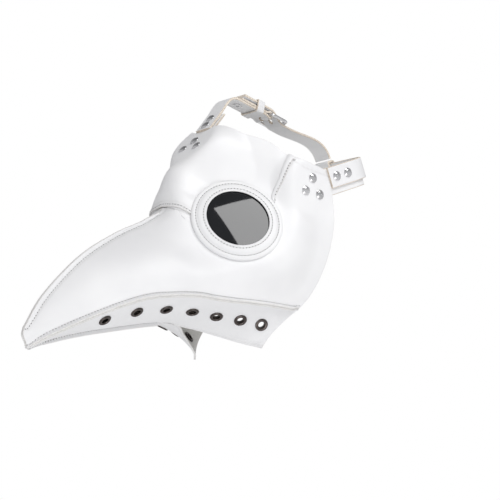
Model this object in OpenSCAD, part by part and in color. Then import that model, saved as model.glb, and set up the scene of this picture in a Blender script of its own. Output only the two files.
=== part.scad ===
// Plague doctor mask: five sewn leather panels, two round lenses, a row of
// eyelets on each side of the beak and a buckled head harness.  Millimetres,
// +Z up, beak toward -Y, the wearer's left is +X.  The origin is the middle of
// the wearer's head at eye level.

/* [Leather] */
// Thickness of the panel leather
leather_t = 1.8; // [1.4:0.1:2.2]
// Height of the stitched fin along the top of the beak
ridge_fin = 5.5; // [4:0.5:7]
// Width of the stitched flange along the cheek seam
seam_flange = 4.5; // [3:0.5:6]
// Height of the stitched fin under the beak
keel_fin = 4; // [3:0.5:5]

/* [Eyes] */
// Outer diameter of the eye ring
ring_d = 85; // [80:1:88]
// Diameter of the opening that shows the lens
opening_d = 58; // [52:1:60]
// How far the inner lip of the eye ring stands off the panel
ring_rise = 6.2; // [5:0.1:8]
// Diameter of the lens disc
lens_d = 66; // [64:1:68]
// Thickness of the lens disc
lens_t = 1.2; // [1:0.1:1.4]

/* [Eyelets] */
// Number of eyelets on each lower panel
eyelet_count = 7; // [3:1:7]
// Flange diameter of an eyelet
eyelet_d = 12; // [10:0.5:13]
// Bore of an eyelet
eyelet_bore_d = 6; // [4:0.5:7]

/* [Rivets] */
// Diameter of a rivet cap
cap_d = 9; // [7:0.5:10]
// Height of a rivet cap
cap_h = 2.2; // [1.6:0.1:3]
// Diameter of a rivet post
post_d = 3; // [2:0.5:4]

/* [Straps] */
// Width of the straps
strap_w = 20; // [16:1:20]
// Thickness of the straps
strap_t = 2.4; // [2:0.1:2.4]
// Width of the anchor tabs
tab_w = 26; // [24:1:28]
// Thickness of the anchor tabs
tab_t = 2; // [1.6:0.1:2.2]

/* [Buckles] */
// Radius of the buckle wire
wire_r = 1.5; // [1.2:0.1:1.5]
// Length of a buckle between its two cross bars
buckle_len = 20; // [20:1:22]
// Width of the window in a buckle
window_w = 22; // [22:0.5:24]
// Radius of the buckle prong
prong_r = 1.2; // [1:0.1:1.2]
// Length of a keeper along its strap
keeper_len = 9; // [7:1:9]

/* [Hidden] */
$fn = 48;
gap = 0.1;

// ---- Shape stations, from the beak tip to the rear edge, on the left half ----
// Middle line: ridge of the beak, bridge, forehead
CENTRE = [[0, -244, -117], [0, -225, -86], [0, -188, -48], [0, -150, -22],
          [0, -118, -5], [0, -97, 12], [0, -88, 48], [0, -55, 89]];
// Top edge from the middle of the forehead to the temple
TOP_EDGE = [[0, -55, 89], [27, -34, 87.5], [48, -13, 79], [61, 1, 65], [74, 32, 56]];
// Upper handles of the side sections
BROW = [[1, -244, -121], [5, -225, -94], [12, -187, -60], [17, -148, -34],
        [20, -114, -16], [20, -91, 6], [24, -88, 40], [22, -62, 58],
        [34, -40, 52], [53, -18, 45], [68, 2, 32], [77, 56, 32]];
// Lower handles of the side sections
CHEEK = [[1.5, -244, -126], [9, -225, -106], [22, -186, -78], [36, -145, -56],
         [48, -112, -45], [58, -88, -38], [66, -72, -32], [73, -58, -28],
         [79, -44, -28], [82, -30, -29], [82, -14, -32], [73, 46, -40]];
// Seam between the side panel and the lower panel
SEAM = [[1, -244, -130], [8, -225, -116], [21, -185, -95.5], [34, -148, -80],
        [43, -121, -75], [50, -98, -73.5], [53, -82, -74.5], [57, -62, -75],
        [59, -42, -74.5], [61, -22, -74.5], [62, -6, -75], [62, 11, -75.5]];
// Handles of the lower sections
JAW = [[1, -243, -130.5], [6, -223, -120], [13, -186, -105], [21, -147, -93],
       [27, -119, -88], [32, -92, -87], [35, -77, -89], [40, -62, -90],
       [44, -46, -92], [49, -29, -94], [53, -18, -95], [54, -12, -94]];
// Keel under the beak, then the free edge around the throat
KEEL = [[0, -243, -131], [0, -223, -121], [0, -187, -110.5], [0, -148, -101.5],
        [0, -118, -95], [0, -91, -91], [3, -75, -93], [12, -63, -96.5],
        [22, -48, -101.5], [32, -33, -106.5], [39, -24, -109.5], [46, -18, -112]];

last_s = len(SEAM) - 1;
top_s = len(CENTRE) - 1;
bridge_s = 5;
temple_s = 10;
keel_s = 5;

// ---- Flat places where hardware sits: centre, outward normal, radii ----
harness_z = 29;
harness_tilt = 22;
anchor_turn = 6;
temple_x = 71.7;
temple_y = 24;

function heading(az, el) = [cos(el) * sin(az), -cos(el) * cos(az), sin(el)];
function harness_point(x, y, z = 0) =
    [x, y * cos(harness_tilt) - z * sin(harness_tilt),
     harness_z + y * sin(harness_tilt) + z * cos(harness_tilt)];

eye_az = 62;
eye_el = 21;
eye_c = [47, -50.5, -2];
eye_n = heading(eye_az, eye_el);
temple_c = harness_point(temple_x, temple_y);
temple_n = harness_point(cos(anchor_turn), -sin(anchor_turn)) - harness_point(0, 0);
crown_slope = 51.2;
forehead_c = [0, -60, 78.4];
forehead_n = [0, -sin(crown_slope), cos(crown_slope)];

// ---- Curves and surfaces ----
function smooth(x) = let (k = max(0, min(1, x))) k * k * (3 - 2 * k);
function unit(v) = v / norm(v);
function mix(a, b, k) = a * (1 - k) + b * k;

// Point at station s on a smooth curve through the points P
function curve(P, s) =
    let (n = len(P) - 1, i = max(0, min(n - 1, floor(s))), u = s - i,
         b = P[i], c = P[i + 1],
         a = i > 0 ? P[i - 1] : 2 * b - c,
         d = i + 2 <= n ? P[i + 2] : 2 * c - b)
    0.5 * (2 * b + (c - a) * u + (2 * a - 5 * b + 4 * c - d) * u * u
           + (3 * b - a - 3 * c + d) * u * u * u);

function bezier(a, b, c, d, t) =
    a * pow(1 - t, 3) + b * 3 * t * pow(1 - t, 2) + c * 3 * t * t * (1 - t) + d * t * t * t;

// Press a point onto the plane at c with normal n, fully inside radius r0
function press(p, c, n, r0, r1, share = 1) =
    let (d = (p - c) * n, r = norm(p - d * n - c))
    p - share * (1 - smooth((r - r0) / (r1 - r0))) * d * n;

function top_line(s) = s < top_s ? curve(CENTRE, s) : curve(TOP_EDGE, s - top_s);

// Inner face of the side and forehead leather, t from the top line to the seam
function side_point(s, t) =
    let (raw = bezier(top_line(s), curve(BROW, s), curve(CHEEK, s), curve(SEAM, s), t),
         away = smooth(5 * t) * smooth(5 * (1 - t)),
         eye = press(raw, eye_c, eye_n, ring_d / 2 + 2, 80, away),
         temple = press(eye, temple_c, temple_n, 22, 38))
    press(temple, forehead_c, forehead_n, 22, 44);

// Inner face of the lower leather, t from the seam to the keel
function lower_point(s, t) =
    bezier(curve(SEAM, s), mix(curve(SEAM, s), curve(JAW, s), 2 / 3),
           mix(curve(KEEL, s), curve(JAW, s), 2 / 3), curve(KEEL, s), t);

// Where the forehead panel ends on the side section at station s
lap_down = 0.47;
lap_curve = 0.42;
function lap_t(s) =
    max(0, min(lap_down * pow(max(0, s - bridge_s), lap_curve), lap_down,
               (temple_s - s) * 0.45 + 0.02));

// ---- Sheets: a grid of points, thickened along its own normals ----
function grid_normal(g, i, j) =
    let (m = len(g) - 1, n = len(g[0]) - 1)
    unit(cross(g[i][min(n, j + 1)] - g[i][max(0, j - 1)],
               g[min(m, i + 1)][j] - g[max(0, i - 1)][j]));

function offset_grid(g, d) =
    [for (i = [0:len(g) - 1]) [for (j = [0:len(g[0]) - 1])
        g[i][j] + grid_normal(g, i, j) * (is_list(d) ? d[i][j] : d)]];

function flat_list(g) = [for (row = g) for (p = row) p];

// Closed sheet between two grids of the same size
module sheet(inner, outer) {
    m = len(inner);
    n = len(inner[0]);
    function at(side, i, j) = side * m * n + i * n + j;
    polyhedron(
        points = concat(flat_list(inner), flat_list(outer)),
        faces = concat(
            [for (i = [0:m - 2], j = [0:n - 2]) each
                [[at(0, i, j), at(0, i, j + 1), at(0, i + 1, j)],
                 [at(0, i + 1, j), at(0, i, j + 1), at(0, i + 1, j + 1)],
                 [at(1, i, j), at(1, i + 1, j), at(1, i, j + 1)],
                 [at(1, i + 1, j), at(1, i + 1, j + 1), at(1, i, j + 1)]]],
            [for (j = [0:n - 2]) each
                [[at(0, 0, j), at(1, 0, j), at(0, 0, j + 1)],
                 [at(1, 0, j), at(1, 0, j + 1), at(0, 0, j + 1)],
                 [at(0, m - 1, j), at(0, m - 1, j + 1), at(1, m - 1, j)],
                 [at(1, m - 1, j), at(0, m - 1, j + 1), at(1, m - 1, j + 1)]]],
            [for (i = [0:m - 2]) each
                [[at(0, i, 0), at(0, i + 1, 0), at(1, i, 0)],
                 [at(1, i, 0), at(0, i + 1, 0), at(1, i + 1, 0)],
                 [at(0, i, n - 1), at(1, i, n - 1), at(0, i + 1, n - 1)],
                 [at(1, i, n - 1), at(1, i + 1, n - 1), at(0, i + 1, n - 1)]]]));
}

// ---- Panels ----
side_steps = 48;
side_rows = 14;
lower_rows = 5;
brow_steps = 32;
brow_rows = 14;

function side_grid() =
    [for (i = [0:side_steps]) let (s = i * last_s / side_steps)
        [for (j = [0:side_rows]) side_point(s, mix(lap_t(s), 1, j / side_rows))]];

function lower_grid() =
    [for (i = [0:side_steps]) let (s = i * last_s / side_steps)
        [for (j = [0:lower_rows]) lower_point(s, j / lower_rows)]];

// Forehead: u across from the middle to the temple, w down from the top edge.
// It laps over the side panels by a share of the side section.
brow_s = temple_s + 0.1;
lap_share = 0.04;
function brow_point(u, w) =
    let (s_low = mix(bridge_s, brow_s, u), low = lap_t(s_low) + lap_share * min(1, 8 * u))
    side_point(mix(mix(top_s, brow_s, u), s_low, w), w * low);

function mirror_x(p) = [-p[0], p[1], p[2]];

function brow_grid() =
    [for (i = [-brow_steps:brow_steps]) let (u = abs(i) / brow_steps)
        [for (j = [0:brow_rows])
            let (p = brow_point(u, j / brow_rows)) i < 0 ? mirror_x(p) : p]];

// The forehead leather rises just before it meets the side panels
rise_run = 0.05;
rise_end = 0.025;
lap_gap = 0.8;
function brow_rise(u, w) =
    let (s_low = mix(bridge_s, brow_s, u), lap = lap_t(s_low),
         to_lap = w * (lap + lap_share * min(1, 8 * u)) - lap + rise_end + rise_run,
         near = max(smooth((w - 0.6) / 0.2), smooth((u - 0.6) / 0.2)))
    (leather_t + lap_gap) * near * smooth(to_lap / rise_run);

function brow_offsets(extra) =
    [for (i = [-brow_steps:brow_steps])
        [for (j = [0:brow_rows])
            gap + extra + brow_rise(abs(i) / brow_steps, j / brow_rows)]];

// ---- Stitched edges: rows added to a panel that stand off its two borders ----
// Normal of the leather in the middle between two faces, at full thickness
function mitre(a, b) = (a + b) / (1 + a * b);

function grid_s(i) = i * last_s / side_steps;

// Square to the middle line, in the middle plane, away from the mask
function ridge_out(s) =
    unit(cross([1, 0, 0], curve(CENTRE, s + 0.05) - curve(CENTRE, s - 0.05)));
function keel_out(s) =
    unit(cross([-1, 0, 0], curve(KEEL, s + 0.05) - curve(KEEL, s - 0.05)));

// The cheek flange points down and out, square to its seam
function seam_along(s) = unit(curve(SEAM, s + 0.1) - curve(SEAM, s - 0.1));
function flange_out(s) =
    let (along = seam_along(s), out = [0.78, 0, -0.62])
    unit(out - (out * along) * along);
function flange_up(s) = unit(cross(flange_out(s), seam_along(s)));

// Stitched edges are low at the tip of the beak and at the rear corner
function edge_taper(s) =
    (0.3 + 0.7 * smooth(s / 1.2)) * (1 - 0.8 * smooth((s - last_s + 0.7) / 0.7));

fade = 0.6;
hem = 1.2;
side_nose = 3;
lower_nose = 1.2;
function ridge_share(s) = 1 - smooth((s - bridge_s + fade) / fade);
function keel_share(s) = 1 - smooth((s - keel_s + fade) / fade);

// Inner and outer faces of a panel.  G is its grid, top and bottom hold the
// vectors that its border rows stand off by, and top_n and bottom_n the
// directions that those rows are thickened in.  The first column is drawn
// forward into the middle plane as the rounded front of the fin.
function off_middle(p) = [max(gap / 2, p[0]), p[1], p[2]];
function nose_point(column, j, reach) =
    let (n = len(column) - 1, k = j / n)
    [gap / 2, mix(column[0][1], column[n][1], k) - reach * 4 * k * (1 - k), column[j][2]];

function edged_faces(G, top, top_n, bottom, bottom_n, reach) =
    let (last = len(G[0]) - 1,
         N = [for (i = [0:len(G) - 1]) [for (j = [0:last]) grid_normal(G, i, j)]],
         raw = [for (i = [0:len(G) - 1]) concat([G[i][0] + top[i]], G[i],
                                                [G[i][last] + bottom[i]])],
         inner = [for (row = raw) [for (p = row) off_middle(p)]],
         thick = [for (i = [0:len(G) - 1]) concat(
             [top_n[i], mitre(N[i][0], top_n[i])],
             [for (j = [1:last - 1]) i == 0 ? mitre(N[i][j], [1, 0, 0]) : N[i][j]],
             [mitre(N[i][last], bottom_n[i]), bottom_n[i]])],
         nose = [for (j = [0:last + 2]) nose_point(inner[0], j, reach)])
    [concat([nose], inner),
     concat([[for (p = nose) p + leather_t * [1, 0, 0]]], inner + leather_t * thick)];

function side_faces() =
    let (G = side_grid(), S = [for (i = [0:side_steps]) grid_s(i)],
         N0 = [for (i = [0:side_steps]) grid_normal(G, i, 0)])
    edged_faces(
        G,
        [for (i = [0:side_steps]) let (k = ridge_share(S[i]), size = ridge_fin * (1 - 0.12 * S[i]))
            k * size * ridge_out(min(S[i], bridge_s))
            + (1 - k) * hem * min(1, 5 * lap_t(S[i])) * unit(G[i][0] - G[i][1])],
        [for (i = [0:side_steps]) unit(mix(N0[i], [1, 0, 0], ridge_share(S[i])))],
        [for (s = S) seam_flange * edge_taper(s) * flange_out(s)],
        [for (s = S) flange_up(s)],
        side_nose);

function lower_faces() =
    let (G = lower_grid(), S = [for (i = [0:side_steps]) grid_s(i)],
         N1 = [for (i = [0:side_steps]) grid_normal(G, i, lower_rows)])
    edged_faces(
        G,
        [for (s = S) seam_flange * edge_taper(s) * flange_out(s)],
        [for (s = S) -flange_up(s)],
        [for (i = [0:side_steps]) let (k = keel_share(S[i]))
            k * keel_fin * edge_taper(S[i]) * keel_out(min(S[i], keel_s))
            + (1 - k) * hem * unit(G[i][lower_rows] - G[i][lower_rows - 1])],
        [for (i = [0:side_steps]) unit(mix(N1[i], [1, 0, 0], keel_share(S[i])))],
        lower_nose);

// Move something onto a flat place: +Z along its normal
module on_plane(c, az, el) {
    translate(c) rotate([0, 0, az]) rotate([90 - el, 0, 0]) children();
}

module on_eye() {
    on_plane(eye_c, eye_az, eye_el) translate([0, 0, leather_t]) children();
}

// The panel ends inside the ring, and the backing ring fills its hole
backing_r = opening_d / 2 + 8;

module left_side_panel() {
    color("white") difference() {
        sheet(side_faces()[0], side_faces()[1]);
        on_eye() cylinder(r = backing_r + gap, h = 30, center = true);
        at_temple() rivet_holes(TEMPLE_RIVETS);
    }
}

module right_side_panel() {
    mirror([1, 0, 0]) left_side_panel();
}

module left_lower_panel() {
    color("gainsboro") difference() {
        sheet(lower_faces()[0], lower_faces()[1]);
        at_eyelets() {
            cylinder(r = eyelet_bore_d / 2 + 0.8, h = 12, center = true);
            translate([0, 0, -gap / 2 - washer_t]) cylinder(d = eyelet_d - 0.5, h = washer_t);
        }
    }
}

module right_lower_panel() {
    mirror([1, 0, 0]) left_lower_panel();
}

// The forehead panel butts against the outside of the eye rings
module forehead_panel() {
    color("white") difference() {
        sheet(offset_grid(brow_grid(), brow_offsets(0)),
              offset_grid(brow_grid(), brow_offsets(leather_t)));
        at_forehead() rivet_holes(FOREHEAD_RIVETS);
        for (side = [0, 1]) mirror([side, 0, 0])
            on_eye() cylinder(r = ring_d / 2 + gap, h = 40, center = true);
    }
}

// ---- Eyes ----
lens_z = 2.8;

module ring_profile() {
    lip = opening_d / 2;
    polygon([[ring_d / 2, gap], [ring_d / 2, 2], [ring_d / 2 - 1, 2.6], [lip + 7, 4.7],
             [lip + 0.8, ring_rise], [lip, ring_rise - 0.5], [lip, lens_z + lens_t + gap],
             [lens_d / 2 + 0.3, lens_z + lens_t + gap], [lens_d / 2 + 0.3, lens_z],
             [backing_r + 0.4, gap]]);
}

module left_eye_ring() {
    color("white") on_eye() rotate_extrude($fn = 96) ring_profile();
}

module right_eye_ring() {
    mirror([1, 0, 0]) left_eye_ring();
}

module left_lens() {
    color("dimgray") on_eye() translate([0, 0, lens_z])
        cylinder(d = lens_d, h = lens_t, $fn = 96);
}

module right_lens() {
    mirror([1, 0, 0]) left_lens();
}

// Ring of leather behind the lens, inside the hole of the panel
module left_lens_backing() {
    seat = lens_z - gap;
    color("white") on_eye() rotate_extrude($fn = 96)
        polygon([[opening_d / 2, -leather_t], [backing_r, -leather_t], [backing_r, 0],
                 [lens_d / 2, seat], [opening_d / 2, seat]]);
}

module right_lens_backing() {
    mirror([1, 0, 0]) left_lens_backing();
}

// ---- Eyelets in the lower panels ----
// Station and share of the way down for each eyelet
EYELET_PLACES = [[2.3, 0.5], [3.1, 0.46], [4.15, 0.46], [5.3, 0.48],
                 [6.8, 0.48], [8.1, 0.46], [9.35, 0.48]];

module at_surface(p, n) {
    translate(p) rotate([0, acos(n[2]), atan2(n[1], n[0])]) children();
}

function lower_normal(s, t) =
    unit(cross(lower_point(s, t + 0.02) - lower_point(s, t - 0.02),
               lower_point(s + 0.05, t) - lower_point(s - 0.05, t)));

// Each eyelet stands on the inner face, +Z outward
module at_eyelets() {
    for (i = [0:eyelet_count - 1])
        let (e = EYELET_PLACES[i])
            at_surface(lower_point(e[0], e[1]), lower_normal(e[0], e[1])) children();
}

washer_t = 0.8;
flare_t = 0.4;

module eyelet() {
    bore = eyelet_bore_d / 2;
    seat = leather_t + 0.3;
    low = -gap - washer_t - gap;
    rotate_extrude()
        polygon([[bore, low - flare_t], [bore + 1.5, low - flare_t], [bore + 1.5, low],
                 [bore + 0.6, low], [bore + 0.6, seat], [eyelet_d / 2, seat],
                 [eyelet_d / 2 - 0.3, seat + 0.6], [bore + 1.4, seat + 1.1],
                 [bore + 0.4, seat + 0.9], [bore, seat + 0.5]]);
}

module left_eyelets() {
    color("darkslategray") at_eyelets() eyelet();
}

module right_eyelets() {
    mirror([1, 0, 0]) left_eyelets();
}

module left_eyelet_washers() {
    color("darkslategray") at_eyelets() translate([0, 0, -gap - washer_t])
        difference() {
            cylinder(d = eyelet_d - 1, h = washer_t);
            translate([0, 0, -1]) cylinder(r = eyelet_bore_d / 2 + 0.7, h = washer_t + 2);
        }
}

module right_eyelet_washers() {
    mirror([1, 0, 0]) left_eyelet_washers();
}

// ---- Rivets ----
back_t = 1;
hole_slack = 0.15;
TEMPLE_RIVETS = [[1, 8], [-11, -1], [3.5, -8.5]];
FOREHEAD_RIVETS = [[-7.5, 9.5], [2, 0], [-7.5, -9.5]];

module rivet_holes(places) {
    for (p = places) translate([p[0], p[1], 0])
        cylinder(d = post_d + 2 * hole_slack, h = 20, center = true);
}

// Domed cap on a face at height 0, with its post through the stack below
module rivet_cap(d, stack) {
    r = d / 2;
    rim = 0.6;
    ball = (r * r + pow(cap_h - rim, 2)) / (2 * (cap_h - rim));
    translate([0, 0, gap / 2]) cylinder(d = d, h = rim);
    translate([0, 0, gap / 2]) intersection() {
        translate([0, 0, cap_h - ball]) sphere(r = ball, $fn = 64);
        cylinder(d = d, h = cap_h);
    }
    translate([0, 0, -stack - back_t]) cylinder(d = post_d, h = stack + back_t + gap);
}

module rivet_back(stack) {
    translate([0, 0, -stack - back_t]) difference() {
        cylinder(d = post_d + 5, h = back_t - gap / 2);
        translate([0, 0, -1]) cylinder(d = post_d + 0.04, h = back_t + 2);
    }
}

module caps(places, face, stack, d = cap_d) {
    color("silver") for (p = places) translate([p[0], p[1], face]) rivet_cap(d, stack);
}

module backs(places, face, stack) {
    color("silver") for (p = places) translate([p[0], p[1], face]) rivet_back(stack);
}

// ---- Harness paths ----
// Flat paths are [x, y] in the harness plane for the rear strap, and [y, z] in
// the middle plane for the strap over the crown.
strap_lift = 3;
strap_start = 21;
rear_buckle = [-36, 109];
rear_turn = 30;
crown_buckle = [26, 120];
crown_turn = 13;
rear_back = [0, 121];

function temple_path_point(a, d) =
    [temple_x + a * sin(anchor_turn) + d * cos(anchor_turn),
     temple_y + a * cos(anchor_turn) - d * sin(anchor_turn)];
function forehead_path_point(a, d) =
    [forehead_c[1] + a * cos(crown_slope) - d * sin(crown_slope),
     forehead_c[2] + a * sin(crown_slope) + d * cos(crown_slope)];
function rear_buckle_point(u, n) =
    rear_buckle + [u * cos(rear_turn) - n * sin(rear_turn),
                   u * sin(rear_turn) + n * cos(rear_turn)];
function crown_buckle_point(u, n) =
    crown_buckle + [u * cos(crown_turn) + n * sin(crown_turn),
                    -u * sin(crown_turn) + n * cos(crown_turn)];

// Smooth path from a to b that leaves along da and arrives along db
function bend(a, da, b, db, steps = 12) =
    [for (i = [0:steps]) bezier(a, a + da, b - db, b, i / steps)];

// A strap tail comes in under the far bar of its buckle and lies over the fold
tail_low = -3.2;
tail_high = 5.9;
tail_from = 22;
tail_to = -34;
function tail_points() =
    [for (u = [tail_from:-1.5:tail_to])
        [u, mix(tail_low, tail_high, smooth((18 - u) / 18))]];

function path_normal(P, i) =
    let (d = unit(P[min(len(P) - 1, i + 1)] - P[max(0, i - 1)])) [-d[1], d[0]];
function shifted(P, d) = [for (i = [0:len(P) - 1]) P[i] + d * path_normal(P, i)];
function reversed(P) = [for (i = [len(P) - 1:-1:0]) P[i]];
function flipped(P) = [for (p = P) [-p[0], p[1]]];

module ribbon(P, t) {
    polygon(concat(shifted(P, t / 2), reversed(shifted(P, -t / 2))));
}

// Strap path on one temple: straight along the tab, then free
temple_end = 48;
strap_mid = strap_t / 2;
function temple_straight() =
    [temple_path_point(strap_start, strap_mid), temple_path_point(temple_end - 4, strap_mid)];
function temple_run(k) = k * [sin(anchor_turn), cos(anchor_turn)];

function left_path() =
    concat(temple_straight(),
           bend(temple_path_point(temple_end, strap_mid), temple_run(30), rear_back, [-44, 0], 16),
           bend(rear_back + [-2, -0.03], [-4, 0], rear_buckle_point(tail_from + 4, tail_low),
                -4 * [cos(rear_turn), sin(rear_turn)], 4),
           [for (q = tail_points()) rear_buckle_point(q[0], q[1])]);

fold_len = 37;
function right_path() =
    concat(flipped(temple_straight()),
           bend(flipped([temple_path_point(temple_end, strap_mid)])[0],
                flipped([temple_run(9)])[0], rear_buckle_point(-fold_len - 3, -strap_mid),
                9 * [cos(rear_turn), sin(rear_turn)], 10),
           [rear_buckle_point(-fold_len, -strap_mid), rear_buckle_point(-2, -strap_mid)]);

front_start = 18;
front_end = 38;
function front_path() =
    concat([forehead_path_point(front_start, strap_mid), forehead_path_point(front_end - 4, strap_mid)],
           bend(forehead_path_point(front_end, strap_mid),
                12 * [cos(crown_slope), sin(crown_slope)],
                crown_buckle_point(-fold_len - 3, -strap_mid),
                12 * [cos(crown_turn), -sin(crown_turn)], 10),
           [crown_buckle_point(-fold_len, -strap_mid), crown_buckle_point(-2, -strap_mid)]);

// ---- Frames for hardware ----
module in_harness(lift = 0) {
    translate([0, 0, harness_z]) rotate([harness_tilt, 0, 0]) translate([0, 0, lift]) children();
}

module at_temple() {
    in_harness() translate([temple_x, temple_y, 0]) rotate([90, 0, 90 - anchor_turn]) children();
}

module at_forehead() {
    translate(forehead_c) rotate([crown_slope, 0, 0]) rotate([0, 0, 90]) children();
}

// Buckle frames: X along the strap to the tail side, Z outward
module at_rear_buckle() {
    in_harness(strap_lift) translate([rear_buckle[0], rear_buckle[1], 0])
        rotate([0, 0, rear_turn]) rotate([-90, 0, 0]) children();
}

module at_top_buckle() {
    translate([0, crown_buckle[0], crown_buckle[1]])
        rotate([-crown_turn, 0, 0]) rotate([0, 0, 90]) children();
}

module along_middle(w) {
    rotate([90, 0, 90]) linear_extrude(height = w, center = true) children();
}

// ---- Anchor tabs and straps ----
tab_nose = -17;
tab_tip = 40;
STRAP_RIVETS = [[29, strap_lift], [43, strap_lift]];
CROWN_RIVETS = [[23.5, 0], [33.5, 0]];

// A tab lies flat under the temple, then follows the inside of its strap P around
// the head, as far as point number last
function tab_path(P, start, last, inward) =
    shifted(concat([start], [for (i = [1:last]) P[i]]), inward * (strap_mid + gap + tab_t / 2));

module temple_tab(path) {
    in_harness() linear_extrude(height = tab_w, center = true) ribbon(path, tab_t);
}

module tab_rivet_holes() {
    at_temple() {
        rivet_holes(TEMPLE_RIVETS);
        rivet_holes(STRAP_RIVETS);
    }
}

module left_temple_tab() {
    start = temple_path_point(tab_nose, strap_mid);
    color("white") difference() {
        temple_tab(tab_path(left_path(), start, 6, 1));
        tab_rivet_holes();
    }
}

module right_temple_tab() {
    start = flipped([temple_path_point(tab_nose, strap_mid)])[0];
    color("white") difference() {
        temple_tab(tab_path(right_path(), start, 8, -1));
        mirror([1, 0, 0]) tab_rivet_holes();
    }
}

module forehead_tab() {
    color("white") at_forehead() difference() {
        translate([tab_nose + 2, -tab_w / 2, -tab_t]) cube([tab_tip - tab_nose - 2, tab_w, tab_t]);
        rivet_holes(FOREHEAD_RIVETS);
        rivet_holes(CROWN_RIVETS);
    }
}

// Round-ended slots in a strap tail: the prong passes through the first
slot_w = 4.4;
module tail_slots() {
    translate([0, -slot_w / 2, -8]) cube([12.5, slot_w, 20]);
    for (u = [-14, -26]) translate([u, 0, 0]) {
        translate([-2, -slot_w / 2, 4]) cube([4, slot_w, 4]);
        for (side = [-2, 2]) translate([side, 0, 4]) cylinder(d = slot_w, h = 4);
    }
}

// Outline of the second ply: the strap folds around the hinge bar of its buckle
// and is riveted to itself
fold_r = 4;
fold_rivet_u = -33;
fold_w = strap_w - 0.6;
ply_inner = strap_t - 0.2;
ply_bite = 0.6;
module fold() {
    rotate([90, 0, 0]) {
        cylinder(r = fold_r, h = fold_w, center = true);
        linear_extrude(height = fold_w - 0.2, center = true)
            polygon([[-9, -ply_inner], [-1.2, -3.8], [-1.2, 3.8], [-9, ply_inner]]);
    }
    translate([-fold_len, -fold_w / 2 + 0.2, -ply_bite])
        cube([fold_len - 6, fold_w - 0.4, strap_t + ply_bite]);
}

module fold_cuts() {
    rotate([90, 0, 0]) cylinder(r = wire_r + 0.08, h = strap_w + 2, center = true);
    translate([-4.6, -2.6, -10]) cube([12, 5.2, 20]);
    translate([fold_rivet_u, 0, 0]) cylinder(d = post_d + 2 * hole_slack, h = 20, center = true);
}

module left_strap() {
    color("white") difference() {
        in_harness(strap_lift) linear_extrude(height = strap_w, center = true)
            ribbon(left_path(), strap_t);
        at_rear_buckle() tail_slots();
        at_temple() rivet_holes(STRAP_RIVETS);
    }
}

module right_strap() {
    color("white") difference() {
        union() {
            in_harness(strap_lift) linear_extrude(height = strap_w, center = true)
                ribbon(right_path(), strap_t);
            at_rear_buckle() fold();
        }
        at_rear_buckle() fold_cuts();
        mirror([1, 0, 0]) at_temple() rivet_holes(STRAP_RIVETS);
    }
}

module top_strap_front() {
    color("white") difference() {
        union() {
            along_middle(strap_w) ribbon(front_path(), strap_t);
            at_top_buckle() fold();
        }
        at_top_buckle() fold_cuts();
        at_forehead() rivet_holes(CROWN_RIVETS);
    }
}

// The rear end of the crown strap is a sewn loop around the rear strap
loop_y = strap_t / 2 + 1.2;
loop_z = strap_w / 2 + 0.5;

function loop_point(y, z) =
    let (p = harness_point(0, rear_back[1] + y, strap_lift + z)) [p[1], p[2]];

function back_path() =
    concat([loop_point(0, loop_z + strap_t / 2)],
           bend(loop_point(0, loop_z + 4), 22 * [-sin(harness_tilt), cos(harness_tilt)],
                crown_buckle_point(tail_from + 4, tail_low), 24 * [-cos(crown_turn), sin(crown_turn)], 12),
           [for (q = tail_points()) crown_buckle_point(q[0], q[1])]);

module sewn_loop() {
    translate(loop_point(0, 0)) rotate(harness_tilt) difference() {
        square([2 * (loop_y + strap_t), 2 * (loop_z + strap_t)], center = true);
        square([2 * loop_y, 2 * loop_z], center = true);
    }
}

module top_strap_back() {
    color("white") difference() {
        union() {
            along_middle(strap_w) ribbon(back_path(), strap_t);
            along_middle(fold_w) sewn_loop();
        }
        at_top_buckle() tail_slots();
    }
}

// ---- Buckles ----
corner_r = 2.5;
module buckle_frame() {
    half = window_w / 2 + wire_r;
    for (u = [0, buckle_len]) translate([u, 0, 0])
        rotate([90, 0, 0]) cylinder(r = wire_r, h = 2 * (half - corner_r), center = true);
    for (side = [-half, half]) translate([corner_r, side, 0])
        rotate([0, 90, 0]) cylinder(r = wire_r, h = buckle_len - 2 * corner_r);
    for (c = [[0, 1, 90], [0, -1, 180], [1, -1, 270], [1, 1, 0]])
        translate([c[0] == 0 ? corner_r : buckle_len - corner_r, c[1] * (half - corner_r), 0])
            rotate([0, 0, c[2]]) rotate_extrude(angle = 90)
                translate([corner_r, 0]) circle(r = wire_r);
}

prong_tube_r = 2.9;
prong_low = 1.7;
prong_high = wire_r + prong_r + 0.4;
module buckle_prong() {
    rise = atan((prong_high - prong_low) / buckle_len);
    rotate([90, 0, 0]) difference() {
        cylinder(r = prong_tube_r, h = 3, center = true);
        cylinder(r = wire_r + 0.05, h = 5, center = true);
    }
    difference() {
        translate([0, 0, prong_low]) rotate([0, 90 - rise, 0]) {
            translate([0, 0, 1]) cylinder(r = prong_r, h = buckle_len + 1);
            translate([0, 0, buckle_len + 2]) sphere(r = prong_r);
        }
        rotate([90, 0, 0]) cylinder(r = wire_r + 0.05, h = 5, center = true);
    }
}

keeper_u = -14;
keeper_low = -strap_t - 0.35;
keeper_high = tail_high + strap_t / 2 + 0.35;
keeper_t = 1.5;
module keeper() {
    inner_w = strap_w + 0.8;
    translate([keeper_u, 0, 0]) difference() {
        translate([-keeper_len / 2, -inner_w / 2 - keeper_t, keeper_low - keeper_t])
            cube([keeper_len, inner_w + 2 * keeper_t, keeper_high - keeper_low + 2 * keeper_t]);
        translate([-keeper_len, -inner_w / 2, keeper_low])
            cube([2 * keeper_len, inner_w, keeper_high - keeper_low]);
    }
}

module rear_buckle_frame() {
    color("silver") at_rear_buckle() buckle_frame();
}

module rear_buckle_prong() {
    color("silver") at_rear_buckle() buckle_prong();
}

module rear_keeper() {
    color("white") at_rear_buckle() keeper();
}

module top_buckle_frame() {
    color("silver") at_top_buckle() buckle_frame();
}

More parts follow.
